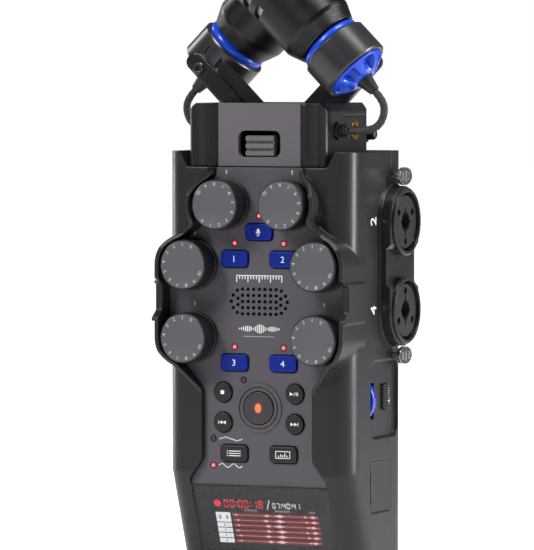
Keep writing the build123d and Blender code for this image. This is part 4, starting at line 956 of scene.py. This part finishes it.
def draw_meters(drawing):
    """Level bars under the tracks, pink at the foot, then orange, then red."""
    bottom, levels = -29.6, (9.2, 9.0, 7.0, 7.6, 8.6, 8.8, 5.4, 6.2)
    pitch, full = 0.8, 11
    red_from, orange_from = 0.8, 0.45
    for i, level in enumerate(levels):
        x = 10.6 + 3.9 * i
        for cell in range(int(level / pitch)):
            share = cell / full
            material = screen_pink
            if share > red_from:
                material = screen_red
            elif share > orange_from:
                material = screen_orange
            drawing.bar(x, bottom + pitch * cell + 0.4, 2.5, 0.6, material, IMAGE, INK)
        drawing.bar(x, bottom - 0.6, 2.5, 0.5, screen_grey, IMAGE, INK)
    for i in range(7):
        drawing.bar(6.4, bottom + 1.4 * i, 2.2 if i % 3 == 0 else 1.2, 0.22, screen_grey, IMAGE, INK)


def make_screen():
    """The lit picture on its black backing, and the window over it."""
    drawing = Drawing()
    w, h = LENS_SIZE
    drawing.slab(rounded_box(w, h, LENS_CORNER - 0.1, 0, -h / 2), screen_black, SLOPE,
                 LENS_THICK - GLASS_THICK - BACKING_GAP, -LENS_THICK)
    drawing.disc(4.6, -3.2, 1.25, screen_red, IMAGE, INK)
    clock(drawing, "00:00:18", 6.9, -1.75, 2.9, screen_red)
    drawing.stroke([(22.2, -4.9), (23.3, -1.6)], 0.3, screen_white, IMAGE, INK)
    clock(drawing, "07:40:41", 24.2, -2.4, 2.05, screen_white)
    for x, wide in ((16.5, 4.8), (27.8, 5.6), (38.4, 2.6)):
        for i in range(int(wide / 0.6)):
            drawing.bar(x - wide / 2 + 0.6 * i, -5.4, 0.3, 0.7, screen_grey, IMAGE, INK)
    draw_tracks(drawing)
    draw_labels(drawing)
    draw_meters(drawing)
    drawing.piece("screen_image", "recorder")
    drawing = Drawing()
    drawing.slab(rounded_box(w, h, LENS_CORNER, 0, -h / 2), screen_glass, SLOPE,
                 GLASS_THICK - GLASS_RECESS, -GLASS_THICK)
    drawing.piece("screen_cover_glass", "recorder", ["screen_lens"])


make_screen()


# ---------------------------------------------------------------- sides

SIDE_NUMBER_Y = -1.0
SIDE_NUMBER_TALL = 4.4
JACK_Z = (128.9, 100.0)
JACK_Y = 15.0
NUMBER_RISE = 0.5
SIDE_FLAT_X = 33.0
ENTER_MARK = (14.6, 72.0, 31.8)


def make_side_marks():
    """The input numbers beside the jacks, and an arrow beside the enter key."""
    drawing = Drawing()
    for side, numbers in ((1, ("2", "4")), (-1, ("1", "3"))):
        for z, number in zip(JACK_Z, numbers):
            upright = Matrix.Rotation(side * math.pi / 2, 4, "Z")
            place = on_side(side, SIDE_NUMBER_Y, z + NUMBER_RISE, SIDE_FLAT_X) @ upright
            drawing.label(number, SIDE_NUMBER_TALL, ink_white, place)
    place = on_side(1, *ENTER_MARK)
    drawing.stroke([(0.0, 3.0), (0.0, -1.6)], 0.26, ink_white, place)
    drawing.slab([(-0.8, -1.4), (0.0, -2.8), (0.8, -1.4)], ink_white, place)
    drawing.piece("side_marks", "recorder")


make_side_marks()


TOOTH_DEPTH = 0.16


def make_wheel():
    """Smooth wheel with fine teeth in the middle of its rim, on its axle."""
    lo, hi = box("thumb_wheel")
    centre = (lo + hi) / 2
    radius, half = (hi.z - lo.z) / 2 / MM, 1.3
    axle, reach = 1.0, (hi.y - lo.y) / 2 / MM
    place = turned(centre, (1, 0, 0), (0, 0, 1))
    rows = [(0, -reach), (axle, -reach), (axle, -half), (radius - 0.9, -half), (radius - 0.25, -half + 0.2),
            (radius, -half + 0.55), (radius, half - 0.55), (radius - 0.25, half - 0.2), (radius - 0.9, half),
            (axle, half), (axle, reach), (0, reach)]
    drawing = Drawing()
    drawing.lathe(rows, lambda row: wheel_blue, place, 144,
                  lambda row, step: -TOOTH_DEPTH if row in (5, 6) and step % 4 == 0 else 0)
    drawing.piece("thumb_wheel_detailed", "thumb_wheel", ["thumb_wheel"])


make_wheel()


FIELD_THICK = 0.06
LEVER_FIELD = (4.9, 2.6)


def make_cover_notch():
    """Painted shade: a flat dark sheet in the outline of the finger notch in the front edge of the card
    cover, standing in for the shade in its hollow.
    """
    lo, hi = box("card_cover")
    place = turned((hi.x, lo.y, (lo.z + hi.z) / 2), (0, 1, 0), (0, 0, 1))
    tall, deep, edge, steps = 5.2, 1.5, 0.2, 16  # half its height, its depth, its start behind the edge
    curve = [(deep * math.sin(math.pi * i / steps), -tall + 2 * tall * i / steps) for i in range(steps + 1)]
    drawing = Drawing()
    # painted shade: the dark sheet stands where the notch is hollow
    drawing.slab([(x + edge, y) for x, y in curve], part_black, place, FIELD_THICK)
    drawing.piece("card_cover_notch_shade", "card_cover")


make_cover_notch()


def make_lever_face(name, side):
    """Three pressed ribs on a dark field in the oval tab."""
    lo, hi = box(name)
    face = hi.x if side > 0 else lo.x
    centre = (lo + hi) / 2
    drawing = Drawing()
    place = turned((face, centre.y, centre.z), (0, side, 0), (0, 0, 1))
    for i in (-1, 0, 1):
        drawing.slab(rounded_box(1.3, 3.6 - 0.9 * abs(i), 0.6, 2.6 * i), steel, place, 0.3, -0.05)
    drawing.slab(ellipse(*LEVER_FIELD, 40), part_black, place, FIELD_THICK)
    drawing.piece(f"{name}_ribs", name)


for n in TRACKS:
    make_lever_face(f"release_lever_{n}", 1 if n % 2 == 0 else -1)


CONTACT_X = 33.5
CONTACT_R = 2.6


def make_contacts():
    """Two sprung contacts that show inside each jack."""
    drawing = Drawing()
    for side in (1, -1):
        for z in JACK_Z:
            place = on_side(side, JACK_Y, z, CONTACT_X)
            spring = arc(CONTACT_R, CONTACT_R, 60, 120, 6)
            drawing.stroke(spring, 0.9, steel, place, 2.2)
            drawing.stroke([(x, -y) for x, y in spring], 0.7, steel, place, 1.6)
    drawing.piece("jack_contacts", "recorder")


make_contacts()


# ---------------------------------------------------------------- microphones

DOME_OUT = 10.15
DOME_IN = 3.1
LOBES = 6
DOME_FOOT = -6.2
DOME_RISE = 3.4
DOME_THICK = 4.0
POCKET_DEPTH = 3.1


def suspension(drawing, place):
    """Rubber dome with rounded pockets between its spokes, and the collar on the barrel's side."""
    turns, rows = 144, 26
    points, faces = [], []
    for skin in (0, 1):
        for row in range(rows + 1):
            share = row / rows
            r = DOME_OUT - (DOME_OUT - DOME_IN) * share
            for turn in range(turns):
                a = 2 * math.pi * turn / turns
                dome = DOME_FOOT - DOME_RISE * math.sin(share * math.pi / 2)
                lobe = max(0.0, 0.5 + 0.9 * math.cos(LOBES * a))
                inside = max(0.0, math.sin(math.pi * min(max((share - 0.08) / 0.72, 0), 1)))
                pocket = min(1.0, 1.7 * min(lobe, 1.0) * inside) ** 1.5
                z = dome + (DOME_THICK if skin else POCKET_DEPTH * pocket)
                points.append((r * math.cos(a), r * math.sin(a), z))
    size = (rows + 1) * turns
    for skin in (0, 1):
        for row in range(rows):
            for turn in range(turns):
                a = skin * size + row * turns + turn
                b = skin * size + row * turns + (turn + 1) % turns
                faces.append((a, b, b + turns, a + turns))
    for row in (0, rows):
        for turn in range(turns):
            a, b = row * turns + turn, row * turns + (turn + 1) % turns
            faces.append((a, b, size + b, size + a))
    drawing.add(points, faces, blue_rubber, place)
    drawing.lathe([(8.7, 5.0), (10.1, 5.0), (10.3, 5.75), (10.5, 6.3), (10.35, 7.3), (10.0, 7.9),
                   (9.5, 8.35), (8.7, 8.5), (8.7, 5.0)], lambda row: blue_rubber, place, 96)


def make_suspensions():
    drawing = Drawing()
    for place in MICS:
        suspension(drawing, place)
    drawing.piece("ring_suspensions_detailed", "capsule", ["ring_suspensions"])


make_suspensions()

CLOTH_R = 11.0
cloth_metal = woven_metal()


def make_wire_cloth():
    """A sleeve of wire cloth behind the slots, closed at the microphone's end."""
    drawing = Drawing()
    for place in MICS:
        drawing.lathe([(CLOTH_R, 24.5), (CLOTH_R, 45.8), (9.4, 47.6), (0, 48.2), (0, 48.0), (9.2, 47.3),
                       (CLOTH_R - 0.25, 45.6), (CLOTH_R - 0.25, 24.5), (CLOTH_R, 24.5)],
                      lambda row: cloth_metal, place, 96)
    drawing.piece("mic_wire_cloth", "capsule")


make_wire_cloth()

ARM_SCREW = spot(30.9, 1.4, 178.8)
SOCKET_R = 0.95


def make_arm_screws():
    """A screw with a hexagon socket at the top of each arm."""
    drawing = Drawing()
    right = turned(ARM_SCREW, (-1, 0, 0), (0, 0, 1))
    rows = [(0, -0.4), (2.0, -0.4), (2.0, 0.35), (1.75, 0.6), (SOCKET_R, 0.6), (SOCKET_R, -0.1), (0, -0.1)]
    rim, floor = 4, 5
    steps = 48

    def hexagon(row, step):
        if row not in (rim, floor):
            return 0
        a = (2 * math.pi * step / steps) % (math.pi / 3) - math.pi / 6
        return SOCKET_R / math.cos(a) - SOCKET_R

    for place in (right, HALF_TURN @ right):
        drawing.lathe(rows, lambda row: dark_steel if row < rim else part_black, place, steps, hexagon)
    drawing.piece("arm_screws", "capsule")


make_arm_screws()

LEAD_R = 1.25
LEAD_ROUTE = [(37.75, -11.25, 171.75), (40.86, -11.25, 168.64), (41.3, -11.25, 164.2),
              (39.2, -11.25, 160.3), (35.0, -11.25, 158.8), (28.8, -11.25, 158.8)]
BRAID_STRANDS = 6
BRAID_PITCH = 1.9
BRAID_DEPTH = 0.14


def smooth_route(route):
    """Points along one smooth curve whose control points are the route."""
    curve = bpy.data.curves.new("route", "CURVE")
    curve.dimensions = "3D"
    spline = curve.splines.new("NURBS")
    spline.points.add(len(route) - 1)
    for point, place in zip(spline.points, route):
        point.co = (*spot(*place), 1)
    spline.order_u = 3
    spline.use_endpoint_u = True
    spline.resolution_u = 18
    holder = bpy.data.objects.new("route", curve)
    mesh = bpy.data.meshes.new_from_object(holder)
    points = [v.co.copy() for v in mesh.vertices]
    bpy.data.objects.remove(holder)
    bpy.data.curves.remove(curve)
    bpy.data.meshes.remove(mesh)
    return points


def make_leads():
    """Braided sleeves of the two microphone leads."""
    points = smooth_route(LEAD_ROUTE)
    across = Vector((0, 1, 0))
    around = 36
    drawing = Drawing()
    for move in (Matrix.Identity(4), HALF_TURN):
        corners, faces, run = [], [], 0.0
        for i, p in enumerate(points):
            after = points[min(i + 1, len(points) - 1)]
            before = points[max(i - 1, 0)]
            run += (p - before).length / MM
            out = (after - before).normalized().cross(across)
            for step in range(around):
                a = 2 * math.pi * step / around
                twist = 2 * math.pi * run / BRAID_PITCH
                weave = max(math.sin(BRAID_STRANDS * a + twist), math.sin(BRAID_STRANDS * a - twist))
                r = LEAD_R - BRAID_DEPTH + BRAID_DEPTH * weave
                corners.append(p / MM + r * (math.cos(a) * out + math.sin(a) * across))
        for i in range(len(points) - 1):
            for step in range(around):
                a, b = i * around + step, i * around + (step + 1) % around
                faces.append((a, b, b + around, a + around))
        faces.append(tuple(range(around)))
        faces.append(tuple(len(corners) - around + i for i in range(around)))
        drawing.add(corners, faces, lead_sleeve, move)
    drawing.piece("mic_leads_braided", "capsule", ["mic_cables"])


make_leads()
